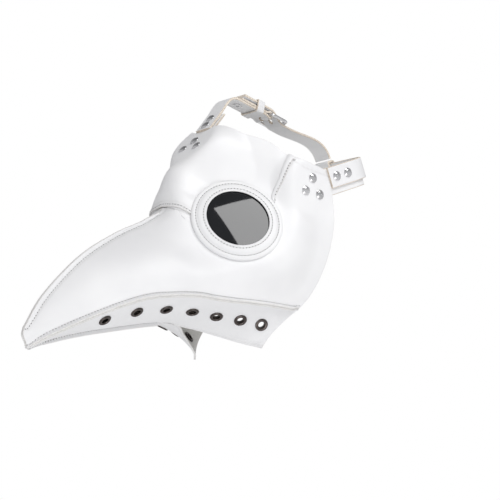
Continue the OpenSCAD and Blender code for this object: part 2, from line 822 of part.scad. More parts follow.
module top_buckle_prong() {
    color("silver") at_top_buckle() buckle_prong();
}

module top_keeper() {
    color("white") at_top_buckle() keeper();
}

// ---- Rivets in place ----
temple_stack = leather_t + gap + tab_t;
strap_stack = strap_t + gap + tab_t;
forehead_stack = leather_t + gap + tab_t;
fold_stack = 2 * strap_t;
fold_cap_d = 7;

module left_temple_rivet_caps() {
    at_temple() caps(TEMPLE_RIVETS, leather_t, temple_stack);
}

module left_temple_rivet_backs() {
    at_temple() backs(TEMPLE_RIVETS, leather_t, temple_stack);
}

module right_temple_rivet_caps() {
    mirror([1, 0, 0]) left_temple_rivet_caps();
}

module right_temple_rivet_backs() {
    mirror([1, 0, 0]) left_temple_rivet_backs();
}

module left_strap_rivet_caps() {
    at_temple() caps(STRAP_RIVETS, strap_t, strap_stack);
}

module left_strap_rivet_backs() {
    at_temple() backs(STRAP_RIVETS, strap_t, strap_stack);
}

module right_strap_rivet_caps() {
    mirror([1, 0, 0]) left_strap_rivet_caps();
}

module right_strap_rivet_backs() {
    mirror([1, 0, 0]) left_strap_rivet_backs();
}

module forehead_rivet_caps() {
    at_forehead() caps(FOREHEAD_RIVETS, leather_t + gap, forehead_stack);
}

module forehead_rivet_backs() {
    at_forehead() backs(FOREHEAD_RIVETS, leather_t + gap, forehead_stack);
}

module top_strap_rivet_caps() {
    at_forehead() caps(CROWN_RIVETS, strap_t, strap_stack);
}

module top_strap_rivet_backs() {
    at_forehead() backs(CROWN_RIVETS, strap_t, strap_stack);
}

module fold_rivet_caps() {
    at_rear_buckle() caps([[fold_rivet_u, 0]], strap_t, fold_stack, fold_cap_d);
    at_top_buckle() caps([[fold_rivet_u, 0]], strap_t, fold_stack, fold_cap_d);
}

module fold_rivet_backs() {
    at_rear_buckle() backs([[fold_rivet_u, 0]], strap_t, fold_stack);
    at_top_buckle() backs([[fold_rivet_u, 0]], strap_t, fold_stack);
}

forehead_panel();
left_side_panel();
right_side_panel();
left_lower_panel();
right_lower_panel();
left_eye_ring();
right_eye_ring();
left_lens();
right_lens();
left_lens_backing();
right_lens_backing();
left_eyelets();
right_eyelets();
left_eyelet_washers();
right_eyelet_washers();
left_temple_tab();
right_temple_tab();
forehead_tab();
left_strap();
right_strap();
top_strap_front();
top_strap_back();
left_temple_rivet_caps();
left_temple_rivet_backs();
right_temple_rivet_caps();
right_temple_rivet_backs();
left_strap_rivet_caps();
left_strap_rivet_backs();
right_strap_rivet_caps();
right_strap_rivet_backs();
forehead_rivet_caps();
forehead_rivet_backs();
top_strap_rivet_caps();
top_strap_rivet_backs();
fold_rivet_caps();
fold_rivet_backs();
rear_buckle_frame();
rear_buckle_prong();
rear_keeper();
top_buckle_frame();
top_buckle_prong();
top_keeper();
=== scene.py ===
"""Plague doctor mask: the visual model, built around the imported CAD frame.

Shapes are worked out in millimetres in the CAD's own frame, and make_mesh turns them into metres.
+Z is up, the beak points toward -Y and the wearer's left is +X.
"""

import math

import bmesh
import bpy
import numpy as np
from mathutils import Matrix, Vector


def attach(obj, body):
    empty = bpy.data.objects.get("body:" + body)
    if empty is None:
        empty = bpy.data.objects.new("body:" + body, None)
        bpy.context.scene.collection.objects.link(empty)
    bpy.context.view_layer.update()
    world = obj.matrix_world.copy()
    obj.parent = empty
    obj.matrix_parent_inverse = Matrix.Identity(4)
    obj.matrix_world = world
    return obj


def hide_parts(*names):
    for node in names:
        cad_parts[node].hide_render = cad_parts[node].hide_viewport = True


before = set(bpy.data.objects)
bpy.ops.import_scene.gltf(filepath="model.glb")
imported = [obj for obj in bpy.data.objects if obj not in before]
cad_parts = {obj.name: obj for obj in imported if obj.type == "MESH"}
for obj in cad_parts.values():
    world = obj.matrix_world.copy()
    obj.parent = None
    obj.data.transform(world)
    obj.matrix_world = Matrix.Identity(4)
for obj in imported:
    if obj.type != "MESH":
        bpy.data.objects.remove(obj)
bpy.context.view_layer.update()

MM = 0.001

# ---- Sizes, as in the CAD source ----
LEATHER_T = 1.8
RIDGE_FIN = 5.5
SEAM_FLANGE = 4.5
KEEL_FIN = 4
HEM = 1.2
SIDE_NOSE = 3
LOWER_NOSE = 1.2
LAP_SHARE = 0.04
LAP_GAP = 0.12
GAP = 0.1
RING_D = 85
OPENING_D = 58
RING_RISE = 6.2
LENS_D = 66
LENS_Z = 2.8
LENS_T = 1.2
BACKING_R = OPENING_D / 2 + 8
EYELET_D = 12
EYELET_BORE_D = 6
WASHER_T = 0.8
CAP_D = 9
CAP_H = 2.2
FOLD_CAP_D = 7
STRAP_W = 20
STRAP_T = 2.4
TAB_W = 26
TAB_T = 2
WIRE_R = 1.5
BUCKLE_LEN = 20
WINDOW_W = 22
KEEPER_LEN = 9

# ---- Shape stations, from the beak tip to the rear edge, on the left half ----
CENTRE = np.array([[0, -244, -117], [0, -225, -86], [0, -188, -48], [0, -150, -22],
                   [0, -118, -5], [0, -97, 12], [0, -88, 48], [0, -55, 89]], float)
TOP_EDGE = np.array([[0, -55, 89], [27, -34, 87.5], [48, -13, 79], [61, 1, 65], [74, 32, 56]])
BROW = np.array([[1, -244, -121], [5, -225, -94], [12, -187, -60], [17, -148, -34],
                 [20, -114, -16], [20, -91, 6], [24, -88, 40], [22, -62, 58],
                 [34, -40, 52], [53, -18, 45], [68, 2, 32], [77, 56, 32]], float)
CHEEK = np.array([[1.5, -244, -126], [9, -225, -106], [22, -186, -78], [36, -145, -56],
                  [48, -112, -45], [58, -88, -38], [66, -72, -32], [73, -58, -28],
                  [79, -44, -28], [82, -30, -29], [82, -14, -32], [73, 46, -40]], float)
SEAM = np.array([[1, -244, -130], [8, -225, -116], [21, -185, -95.5], [34, -148, -80],
                 [43, -121, -75], [50, -98, -73.5], [53, -82, -74.5], [57, -62, -75],
                 [59, -42, -74.5], [61, -22, -74.5], [62, -6, -75], [62, 11, -75.5]])
JAW = np.array([[1, -243, -130.5], [6, -223, -120], [13, -186, -105], [21, -147, -93],
                [27, -119, -88], [32, -92, -87], [35, -77, -89], [40, -62, -90],
                [44, -46, -92], [49, -29, -94], [53, -18, -95], [54, -12, -94]], float)
KEEL = np.array([[0, -243, -131], [0, -223, -121], [0, -187, -110.5], [0, -148, -101.5],
                 [0, -118, -95], [0, -91, -91], [3, -75, -93], [12, -63, -96.5],
                 [22, -48, -101.5], [32, -33, -106.5], [39, -24, -109.5], [46, -18, -112]])
LAST_S = len(SEAM) - 1
TOP_S = len(CENTRE) - 1
BRIDGE_S = 5
KEEL_S = 5
TEMPLE_S = 10
FADE = 0.6
LAP_T = 0.47
LAP_CURVE = 0.42
RISE_RUN = 0.05
RISE_END = 0.025

# ---- Flat places where hardware sits ----
HARNESS_Z = 29
HARNESS_TILT = 22
ANCHOR_TURN = 6
TEMPLE = (71.7, 24)
EYE_AZ = 62
EYE_EL = 21
EYE_C = np.array([47, -50.5, -2])
CROWN_SLOPE = 51.2
FOREHEAD_C = np.array([0, -60, 78.4])
# Radii where a flat place is fully flat and where it ends
EYE_FLAT = (RING_D / 2 + 2, 80)
TEMPLE_FLAT = (22, 38)
FOREHEAD_FLAT = (22, 44)
STRAP_LIFT = 3
REAR_BUCKLE = (-36, 109)
REAR_TURN = 30
CROWN_BUCKLE = (26, 120)
CROWN_TURN = 13
REAR_BACK = (0, 121)
FOLD_LEN = 37
FOLD_RIVET_U = -33

TEMPLE_RIVETS = [(1, 8), (-11, -1), (3.5, -8.5)]
FOREHEAD_RIVETS = [(-7.5, 9.5), (2, 0), (-7.5, -9.5)]
STRAP_RIVETS = [(29, STRAP_LIFT), (43, STRAP_LIFT)]
CROWN_RIVETS = [(23.5, 0), (33.5, 0)]
EYELET_PLACES = [(2.3, 0.5), (3.1, 0.46), (4.15, 0.46), (5.3, 0.48), (6.8, 0.48), (8.1, 0.46),
                 (9.35, 0.48)]


# ---- Frames: 4 x 4 matrices in millimetres ----
def move(x, y, z=0):
    """A shift."""
    m = np.eye(4)
    m[:3, 3] = x, y, z
    return m


def turn(axis, degrees):
    """A rotation about X, Y or Z."""
    return np.array(Matrix.Rotation(math.radians(degrees), 4, axis))


def transformed(m, points):
    """Points moved by a 4 x 4 matrix."""
    points = np.asarray(points, float)
    return points @ m[:3, :3].T + m[:3, 3]


def in_harness(lift=0):
    """The tilted plane that the rear strap runs in."""
    return move(0, 0, HARNESS_Z) @ turn("X", HARNESS_TILT) @ move(0, 0, lift)


MIRROR = np.diag([-1.0, 1, 1, 1])
AT_EYE = move(*EYE_C) @ turn("Z", EYE_AZ) @ turn("X", 90 - EYE_EL) @ move(0, 0, LEATHER_T)
AT_TEMPLE = in_harness() @ move(*TEMPLE) @ turn("Z", 90 - ANCHOR_TURN) @ turn("X", 90)
AT_FOREHEAD = move(*FOREHEAD_C) @ turn("X", CROWN_SLOPE) @ turn("Z", 90)
AT_REAR_BUCKLE = (in_harness(STRAP_LIFT) @ move(*REAR_BUCKLE) @ turn("Z", REAR_TURN)
                  @ turn("X", -90))
AT_TOP_BUCKLE = move(0, *CROWN_BUCKLE) @ turn("X", -CROWN_TURN) @ turn("Z", 90)
MIDDLE_PLANE = turn("Z", 90) @ turn("X", 90)

EYE_N = AT_EYE[:3, 2]
TEMPLE_C = AT_TEMPLE[:3, 3]
TEMPLE_N = AT_TEMPLE[:3, 2]
FOREHEAD_N = AT_FOREHEAD[:3, 2]


# ---- Curves and surfaces, for arrays of stations ----
def smooth(x):
    """0 below 0, 1 above 1, and a smooth step between."""
    k = np.clip(x, 0, 1)
    return k * k * (3 - 2 * k)


def unit(v):
    """Vectors at length 1."""
    v = np.asarray(v, float)
    return v / np.maximum(np.linalg.norm(v, axis=-1, keepdims=True), 1e-9)


def mix(a, b, k):
    """From a at k 0 to b at k 1."""
    return a * (1 - k) + b * k


def column(values):
    """Values with an extra last axis, to multiply vectors."""
    return np.asarray(values, float)[..., None]


def curve(points, s):
    """Points at stations s on a smooth curve through the station points."""
    s = np.asarray(s, float)
    i = np.clip(np.floor(s), 0, len(points) - 2).astype(int)
    u = column(s - i)
    ends = np.vstack([2 * points[0] - points[1], points, 2 * points[-1] - points[-2]])
    a, b, c, d = (ends[i + k] for k in range(4))
    return 0.5 * (2 * b + (c - a) * u + (2 * a - 5 * b + 4 * c - d) * u**2
                  + (3 * b - a - 3 * c + d) * u**3)


def bezier(a, b, c, d, t):
    """Cubic Bezier curve."""
    return a * (1 - t)**3 + b * 3 * t * (1 - t)**2 + c * 3 * t * t * (1 - t) + d * t**3


def press(p, centre, normal, inner_r, outer_r, share=1):
    """Points pressed onto a plane, fully inside inner_r and not at all outside outer_r."""
    d = column((p - centre) @ normal)
    r = np.linalg.norm(p - d * normal - centre, axis=-1)
    return p - column(share * (1 - smooth((r - inner_r) / (outer_r - inner_r)))) * d * normal


def top_line(s):
    """Ridge, bridge and forehead up to the top, then along the top edge."""
    s = np.asarray(s, float)
    on_centre = curve(CENTRE, np.minimum(s, TOP_S))
    on_edge = curve(TOP_EDGE, np.maximum(s - TOP_S, 0))
    return np.where(column(s < TOP_S), on_centre, on_edge)


def side_point(s, t):
    """Inner face of the side and forehead leather, t from the top line to the seam."""
    s, t = np.broadcast_arrays(s, t)
    raw = bezier(top_line(s), curve(BROW, s), curve(CHEEK, s), curve(SEAM, s), column(t))
    away = smooth(5 * t) * smooth(5 * (1 - t))
    eye = press(raw, EYE_C, EYE_N, *EYE_FLAT, away)
    temple = press(eye, TEMPLE_C, TEMPLE_N, *TEMPLE_FLAT)
    return press(temple, FOREHEAD_C, FOREHEAD_N, *FOREHEAD_FLAT)


def lower_point(s, t):
    """Inner face of the lower leather, t from the seam to the keel."""
    s, t = np.broadcast_arrays(s, t)
    seam, jaw, keel = curve(SEAM, s), curve(JAW, s), curve(KEEL, s)
    return bezier(seam, mix(seam, jaw, 2 / 3), mix(keel, jaw, 2 / 3), keel, column(t))


def lap_t(s):
    """Where the forehead panel ends on the side section."""
    front = LAP_T * np.maximum(s - BRIDGE_S, 0)**LAP_CURVE
    return np.clip(np.minimum(np.minimum(front, LAP_T), (TEMPLE_S - s) * 0.45 + 0.02), 0, 1)


def along(points, s):
    """Direction of a station curve."""
    return unit(curve(points, s + 0.1) - curve(points, s - 0.1))


def ridge_out(s):
    """Square to the ridge in the middle plane, away from the mask."""
    return unit(np.cross([1, 0, 0], along(CENTRE, np.minimum(s, BRIDGE_S))))


def keel_out(s):
    """Square to the keel in the middle plane, away from the mask."""
    return unit(np.cross([-1, 0, 0], along(KEEL, np.minimum(s, KEEL_S))))


def flange_out(s):
    """Down and out, square to the cheek seam."""
    out, run = np.array([0.78, 0, -0.62]), along(SEAM, s)
    return unit(out - column(run @ out) * run)


def edge_taper(s):
    """Stitched edges are low at the tip of the beak and at the rear corner."""
    rear = smooth((s - LAST_S + 0.7) / 0.7)
    return (0.3 + 0.7 * smooth(s / 1.2)) * (1 - 0.8 * rear)


# ---- Grids: points [station, row] of a sheet's inner face ----
EDGE_ROWS = 16
EDGE_STEP = 0.65
SIDE_COLUMNS = 340
NOSE_COLUMNS = 7


def arc_lengths(points):
    """Length along each row of points, starting at 0."""
    steps = np.linalg.norm(np.diff(points, axis=1), axis=-1)
    return np.concatenate([np.zeros((len(points), 1)), np.cumsum(steps, 1)], 1)


def resampled(points, middle_rows):
    """Rows at even steps near both borders, and evenly spread between them."""
    lengths = arc_lengths(points)
    rows = []
    for line, length in zip(points, lengths):
        total = length[-1]
        step = min(EDGE_STEP, 0.3 * total / EDGE_ROWS)
        border = step * np.arange(EDGE_ROWS)
        middle = np.linspace(border[-1] + step, total - border[-1] - step, middle_rows)
        at = np.concatenate([border, middle, total - border[::-1]])
        rows.append(np.stack([np.interp(at, length, line[:, k]) for k in range(3)], 1))
    return np.array(rows)


def eased(grid, low, high, rounds=10):
    """The grid with the rows from low to high smoothed, as leather bends into a seam."""
    grid = grid.copy()
    for _ in range(rounds):
        middle = grid[:, low:high]
        grid[:, low:high] = (grid[:, low - 1:high - 1] + 2 * middle
                             + grid[:, low + 1:high + 1]) / 4
    return grid


def edged_grid(body, top, bottom, middle_rows):
    """A panel's grid with the strips that stand off its two borders added to it."""
    strip = column(np.linspace(1, 0, 8, endpoint=False))
    above = body[:, :1] + strip * top[:, None]
    below = body[:, -1:] + strip[::-1] * bottom[:, None]
    grid = resampled(np.concatenate([above, body, below], 1), middle_rows)
    last = grid.shape[1]
    return eased(eased(grid, 3, EDGE_ROWS - 2), last - EDGE_ROWS + 2, last - 3)


def with_nose(grid, reach):
    """Columns added in front that close the beak's tip into a rounded fin in the middle."""
    grid = np.maximum(grid, [GAP / 2, -np.inf, -np.inf])
    k = np.linspace(0, 1, grid.shape[1])
    nose = grid[0].copy()
    nose[:, 0] = GAP / 2
    nose[:, 1] = mix(grid[0, 0, 1], grid[0, -1, 1], k) - reach * 4 * k * (1 - k)
    shares = np.linspace(0, 1, NOSE_COLUMNS, endpoint=False)
    front = np.array([mix(nose, grid[0], x * x * (2 - x)) for x in shares])
    whole = np.concatenate([front, grid])
    return eased(whole.transpose(1, 0, 2), 2, 2 * NOSE_COLUMNS, 4).transpose(1, 0, 2)


def grid_normals(grid):
    """Outward normals of a grid on the left half."""
    across = np.gradient(grid, axis=1)
    forward = np.gradient(grid, axis=0)
    return unit(np.cross(across, forward))


def even_stations():
    """Stations that are evenly spaced along the cheek seam."""
    s = np.linspace(0, LAST_S, 1200)
    length = arc_lengths(curve(SEAM, s)[None])[0]
    return np.interp(np.linspace(0, length[-1], SIDE_COLUMNS), length, s)


STATIONS = even_stations()


def column_at(s):
    """The column of a panel's grid that is nearest to a station."""
    return int(np.argmin(np.abs(STATIONS - s))) + NOSE_COLUMNS


def side_grid():
    """Inner face of the left side panel."""
    s = STATIONS
    t = mix(lap_t(s)[:, None], 1, np.linspace(0, 1, 90)[None])
    body = side_point(s[:, None], t)
    fin = column(1 - smooth((s - BRIDGE_S + FADE) / FADE))
    hem = (1 - fin) * HEM * column(np.minimum(1, 5 * lap_t(s)))
    top = (fin * column(RIDGE_FIN * (1 - 0.12 * s)) * ridge_out(s)
           + hem * unit(body[:, 0] - body[:, 1]))
    bottom = SEAM_FLANGE * column(edge_taper(s)) * flange_out(s)
    return with_nose(edged_grid(body, top, bottom, 56), SIDE_NOSE)


def lower_grid():
    """Inner face of the left lower panel."""
    s = STATIONS
    body = lower_point(s[:, None], np.linspace(0, 1, 60)[None])
    fin = column(1 - smooth((s - KEEL_S + FADE) / FADE))
    top = SEAM_FLANGE * column(edge_taper(s)) * flange_out(s)
    bottom = (fin * column(KEEL_FIN * edge_taper(s)) * keel_out(s)
              + (1 - fin) * HEM * unit(body[:, -1] - body[:, -2]))
    return with_nose(edged_grid(body, top, bottom, 16), LOWER_NOSE)


def brow_half(u, w):
    """Left half of the forehead: u from the middle to the temple, w down from the top.

    The leather rises just before it laps over the side panel.
    """
    low_s = mix(BRIDGE_S, TEMPLE_S + 0.1, u)
    lap = lap_t(low_s)
    t = w * (lap + LAP_SHARE * np.minimum(1, 8 * u))
    half = side_point(mix(mix(TOP_S, TEMPLE_S + 0.1, u), low_s, w), t)
    near = np.maximum(smooth((w - 0.6) / 0.2), smooth((u - 0.6) / 0.2))
    rise = (LEATHER_T + LAP_GAP) * near * smooth((t - lap + RISE_END + RISE_RUN) / RISE_RUN)
    return half + column(GAP + rise) * grid_normals(half)


def brow_grid(columns=91):
    """Inner face of the forehead panel, from the right temple to the left one."""
    half = brow_half(np.linspace(0, 1, columns)[:, None], np.linspace(0, 1, 110)[None])
    half[0, :, 0] = 0
    whole = np.concatenate([half[:0:-1] * [-1, 1, 1], half])
    return resampled(whole, 44)


# ---- Meshes ----
def linked(name, data):
    """A new object in the scene."""
    made = bpy.data.objects.new(name, data)
    bpy.context.scene.collection.objects.link(made)
    return made


def make_mesh(name, points, faces, materials, indices=None):
    """An object from points in millimetres and faces, with its materials."""
    mesh = bpy.data.meshes.new(name)
    mesh.from_pydata((np.asarray(points) * MM).tolist(), [], [list(map(int, f)) for f in faces])
    for m in materials:
        mesh.materials.append(m)
    if indices is not None:
        mesh.polygons.foreach_set("material_index", np.asarray(indices, np.int32))
    mesh.polygons.foreach_set("use_smooth", [True] * len(mesh.polygons))
    mesh.update()
    return linked(name, mesh)


def grid_faces(rows, columns, start=0, close_rows=False, close_columns=False):
    """Quads of a grid of points, numbered row by row."""
    i = np.arange(rows if close_rows else rows - 1)[:, None]
    j = np.arange(columns if close_columns else columns - 1)[None]
    i2, j2 = (i + 1) % rows, (j + 1) % columns
    quad = [i * columns + j, i * columns + j2, i2 * columns + j2, i2 * columns + j]
    return start + np.stack([np.broadcast_to(q, np.broadcast(i, j).shape) for q in quad],
                            -1).reshape(-1, 4)


def fix_normals(piece):
    """All faces of a closed mesh turned outward, with double points merged."""
    made = bmesh.new()
    made.from_mesh(piece.data)
    bmesh.ops.remove_doubles(made, verts=made.verts, dist=0.002 * MM)
    bmesh.ops.recalc_face_normals(made, faces=made.faces)
    made.to_mesh(piece.data)
    made.free()
    piece.data.update()
    return piece


def joined(name, shapes, materials, indices=None):
    """One object from several closed (points, faces), each with a material's index."""
    points, faces, slots = [], [], []
    start = 0
    for (p, f), index in zip(shapes, indices or [0] * len(shapes)):
        points.append(p)
        faces += [[start + i for i in face] for face in f]
        slots += [index] * len(f)
        start += len(p)
    return fix_normals(make_mesh(name, np.vstack(points), faces, materials, slots))


def border(rows, columns):
    """Indices of a grid's border points, once round."""
    top = [(0, j) for j in range(columns - 1)]
    right = [(i, columns - 1) for i in range(rows - 1)]
    bottom = [(rows - 1, j) for j in range(columns - 1, 0, -1)]
    left = [(i, 0) for i in range(rows - 1, 0, -1)]
    return np.array(top + right + bottom + left)


RIM = [(0.92, 0.24), (0.62, 0.44), (0, 0.52), (-0.62, 0.44), (-0.92, 0.24)]


def leather_sheet(name, inner, outer, materials):
    """A closed sheet between two grids, with rounded edges: outside, cut edge and lining."""
    rows, columns = inner.shape[:2]
    loop = border(rows, columns)
    at_edge = loop[:, 0] * columns + loop[:, 1]
    flat_in, flat_out = inner.reshape(-1, 3), outer.reshape(-1, 3)
    inset = np.clip(loop, 1, [rows - 2, columns - 2])
    inset = inset[:, 0] * columns + inset[:, 1]
    middle = (flat_in + flat_out) / 2
    half = (flat_out - flat_in)[at_edge] / 2
    away = unit(middle[at_edge] - middle[inset])
    away = unit(away - column(np.sum(away * unit(half), -1)) * unit(half))
    thick = column(np.linalg.norm(half, axis=-1))
    loops = [middle[at_edge] + a * half + b * thick * away for a, b in RIM]
    points = np.concatenate([flat_out, flat_in, *loops])
    count, ring = rows * columns, len(loop)
    chain = [at_edge] + [2 * count + k * ring + np.arange(ring) for k in range(len(RIM))]
    chain.append(count + at_edge)
    rim = [np.stack([a, np.roll(a, -1), np.roll(b, -1), b], 1) for a, b in zip(chain, chain[1:])]
    outside = grid_faces(rows, columns)
    inside = grid_faces(rows, columns, count)[:, ::-1]
    faces = np.concatenate([outside, inside, *rim])
    indices = [0] * len(outside) + [2] * len(inside) + [1] * (len(rim) * ring)
    return fix_normals(make_mesh(name, points, faces, materials, indices))


def circle(count):
    """Points on the unit circle."""
    a = np.linspace(0, 2 * math.pi, count, endpoint=False)
    return np.stack([np.cos(a), np.sin(a)], 1)


def swept(rings, closed=False):
    """Points and faces of a tube through rings of points, with flat ends unless closed."""
    count, sides = rings.shape[:2]
    faces = grid_faces(count, sides, close_rows=closed, close_columns=True).tolist()
    if not closed:
        last = (count - 1) * sides
        faces += [list(range(sides))[::-1], list(range(last, last + sides))]
    return rings.reshape(-1, 3), faces


def placed(m, shape):
    """Points and faces moved by a 4 x 4 matrix."""
    points, faces = shape
    return transformed(m, points), faces


def prism(outline, low, high):
    """Points and faces of a closed prism along Z."""
    return swept(np.array([np.c_[outline, np.full(len(outline), z)] for z in (low, high)]))


def slot_prism(length, width, low, high):
    """Points and faces of a closed slot with round ends, along X."""
    a = np.linspace(-math.pi / 2, math.pi / 2, 12)
    cap = width / 2 * np.stack([np.cos(a), np.sin(a)], 1)
    return prism(np.concatenate([cap + [length / 2, 0], -cap - [length / 2, 0]]), low, high)


def cut(piece, cutters, folded=False):
    """Holes cut into a piece: cutters is a list of (points, faces) in millimetres.

    Folded is for a piece whose faces may touch each other.
    """
    for points, faces in cutters:
        tool = fix_normals(make_mesh("cutter", points, faces, piece.data.materials,
                                     [1] * len(faces)))
        hole = piece.modifiers.new("hole", "BOOLEAN")
        hole.operation = "DIFFERENCE"
        hole.object = tool
        hole.solver = "EXACT"
        hole.use_self = folded
        bpy.context.view_layer.update()
        graph = bpy.context.evaluated_depsgraph_get()
        done = bpy.data.meshes.new_from_object(piece.evaluated_get(graph))
        piece.modifiers.clear()
        piece.data = done
        bpy.data.objects.remove(tool)
    return piece


def mirrored(piece, name):
    """A copy of a piece on the other side of the middle plane."""
    copy = linked(name, piece.data.copy())
    copy.data.transform(Matrix.Diagonal((-1, 1, 1, 1)))
    copy.data.flip_normals()
    return copy


def stands_for(piece, slot, *nodes, body="root"):
    """Rides on a body and stands for CAD nodes. Slot is not used."""
    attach(piece, body)
    if nodes:
        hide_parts(*nodes)
    return piece


def both_sides(piece, slot, node=None):
    """The left piece and its mirrored twin, named left_ and right_."""
    twin = mirrored(piece, piece.name.replace("left_", "right_"))
    for part, side in ((piece, "left_"), (twin, "right_")):
        stands_for(part, slot, *([side + node] if node else []))
    return piece, twin


# ---- Materials ----
def grey(level):
    """A neutral colour."""
    return (level, level, level)


def fill(tree, socket, value):
    """Sets a socket's value, or joins another socket to it."""
    if isinstance(value, bpy.types.NodeSocket):
        tree.links.new(value, socket)
    else:
        socket.default_value = value


def add_node(tree, kind, **inputs):
    """A node with its inputs filled."""
    made = tree.nodes.new("ShaderNode" + kind)
    for key, value in inputs.items():
        fill(tree, made.inputs[key.replace("_", " ")], value)
    return made


def blended(tree, share, below, above):
    """One colour over another by a share."""
    made = tree.nodes.new("ShaderNodeMix")
    made.data_type = "RGBA"
    for socket, value in (("Factor", share), (6, below), (7, above)):
        fill(tree, made.inputs[socket], value)
    return made.outputs[2]


class Paint:
    """A procedural material around one Principled shader."""

    def __init__(self, name, **sockets):
        self.material = bpy.data.materials.new(name)
        self.material.use_nodes = True
        self.tree = self.material.node_tree
        self.shader = self.tree.nodes["Principled BSDF"]
        for socket, value in sockets.items():
            self.join(value, socket.replace("_", " "))
        self.place = self.node("TexCoord").outputs["Object"]

    def node(self, kind, **inputs):
        """A node in this material."""
        return add_node(self.tree, kind, **inputs)

    def join(self, value, socket):
        """A value or a socket into the shader."""
        fill(self.tree, self.shader.inputs[socket], value)

    def noise(self, scale, detail=3.0):
        """Soft noise, as a value from 0 to 1."""
        return self.node("TexNoise", Vector=self.place, Scale=scale, Detail=detail).outputs["Fac"]

    def cells(self, scale):
        """Distance to the nearest cell wall, as in leather grain."""
        made = self.node("TexVoronoi", Vector=self.place, Scale=scale)
        made.feature = "DISTANCE_TO_EDGE"
        return made.outputs["Distance"]

    def ramp(self, value, *stops):
        """Colours along a value: stops are (position, colour)."""
        made = self.node("ValToRGB", Fac=value)
        points = made.color_ramp.elements
        for point, (position, colour) in zip(points, stops):
            point.position = position
            point.color = (*colour, 1)
        return made.outputs["Color"]

    def colours(self, value, *stops):
        """The shader's colour, along a value."""
        self.join(self.ramp(value, *stops), "Base Color")

    def roughness(self, value, low, high):
        """The shader's roughness, from low to high along a value."""
        spread = self.node("MapRange", Value=value, To_Min=low, To_Max=high)
        self.join(spread.outputs["Result"], "Roughness")

    def bump(self, height, strength, distance, **below):
        """The shader's surface relief, on top of another one if Normal is given."""
        made = self.node("Bump", Height=height, Strength=strength, Distance=distance, **below)
        self.join(made.outputs["Normal"], "Normal")
        return made.outputs["Normal"]


def leather_paint(name, light, shade):
    """Coated leather: fine pebbled grain, faint mottling and painted shade along the sunk stitch
    rows.
    """
    p = Paint(name, IOR=1.47, Coat_Weight=0.12, Coat_Roughness=0.35)
    mottled = p.ramp(p.noise(14), (0.35, shade), (0.62, light))
    # Painted shade: the leather greys toward (0.50, 0.49, 0.48) where the stitch rows sink
    painted_seam_shade = p.node("Attribute")
    painted_seam_shade.attribute_name = "painted_seam_shade"
    p.join(blended(p.tree, painted_seam_shade.outputs["Fac"], mottled, (0.50, 0.49, 0.48, 1)), "Base Color")
    p.roughness(p.noise(90), 0.36, 0.5)
    grain = p.ramp(p.cells(1100), (0, grey(0)), (0.35, grey(1)))
    p.bump(grain, 0.16, 0.0002, Normal=p.bump(p.noise(160, 4), 0.12, 0.0006))
    return p.material


def fibre_paint(name, scale, strength, dark, light, light_from, **sockets):
    """Bare fibres, as at a cut edge or on brushed fabric."""
    p = Paint(name, **sockets)
    fibres = p.noise(scale, 6)
    p.colours(fibres, (0.3, dark), (light_from, light))
    p.bump(fibres, strength, 0.0003)
    return p.material


def edge_paint(name, dark, light):
    """Cut edge of leather, with darker fibres."""
    return fibre_paint(name, 900, 0.4, dark, light, 0.6, Roughness=0.75)


def metal_paint(name, base, low, high):
    """Polished plated metal with fine handling marks."""
    p = Paint(name, Metallic=1.0)
    p.colours(p.noise(60, 4), (0.3, tuple(0.8 * c for c in base)), (0.6, base))
    p.roughness(p.noise(500, 5), low, high)
    p.bump(p.noise(1400, 2), 0.05, 0.0001)
    return p.material


def lens_paint():
    """Smoked acrylic: almost black, polished, with faint wipe marks."""
    p = Paint("smoked_acrylic", IOR=1.49)
    p.colours(p.noise(30), (0.3, (0.008, 0.009, 0.011)), (0.7, (0.014, 0.015, 0.017)))
    p.roughness(p.noise(220, 5), 0.015, 0.05)
    return p.material


def thread_paint():
    """Sewing thread with a fine twist."""
    p = Paint("thread", Roughness=0.6, Sheen_Weight=0.2)
    twist = p.node("TexWave", Vector=p.place, Scale=900, Distortion=2.0)
    twist.bands_direction = "DIAGONAL"
    p.colours(twist.outputs["Fac"], (0, grey(0.66)), (0.8, grey(0.84)))
    p.bump(twist.outputs["Fac"], 0.5, 0.0002)
    return p.material


def needle_shadow_paint():
    """Needle holes as painted shadow: dark grey discs where a hole's shade would fall."""
    p = Paint("needle_hole", Roughness=0.9)
    p.colours(p.noise(800), (0.3, grey(0.14)), (0.7, grey(0.24)))
    return p.material


WHITE = leather_paint("white_leather", (0.88, 0.88, 0.885), (0.83, 0.83, 0.84))
# Painted shade: a darker copy of the white leather, for the lower panels that face down
SHADED_WHITE = leather_paint("white_leather_lower", (0.84, 0.84, 0.85), (0.78, 0.78, 0.79))
PAINTED_EDGE = edge_paint("painted_edge", (0.66, 0.65, 0.63), (0.82, 0.81, 0.80))
RAW_EDGE = edge_paint("raw_edge", (0.60, 0.50, 0.40), (0.82, 0.75, 0.66))
LINING = fibre_paint("fabric_lining", 650, 0.3, (0.56, 0.55, 0.52), (0.70, 0.69, 0.66), 0.7,
                     Roughness=0.9, Sheen_Weight=0.3)
THREAD = thread_paint()
HOLE = needle_shadow_paint()
SMOKED = lens_paint()
GUNMETAL = metal_paint("gunmetal", (0.10, 0.085, 0.08), 0.16, 0.3)
NICKEL = metal_paint("nickel", (0.88, 0.88, 0.89), 0.08, 0.2)
SKIN = [WHITE, PAINTED_EDGE, LINING]
# The lower panels wear the darker copy of the white leather, as painted shade
SHADED_LOWER_SKIN = [SHADED_WHITE, PAINTED_EDGE, LINING]
STRAP_SKIN = [WHITE, RAW_EDGE]

# ---- Stitches ----
PITCH = 3.0
STITCH_LEN = 1.9
THREAD_R = 0.36
THREAD_SINK = 0.15
FIRST_STITCH = 0.35
NEEDLE_R = 0.58
# Rings of a needle hole: height off the leather, share of its radius
BEAD = [(-0.25, 1), (0.02, 1), (0.07, 0.6)]
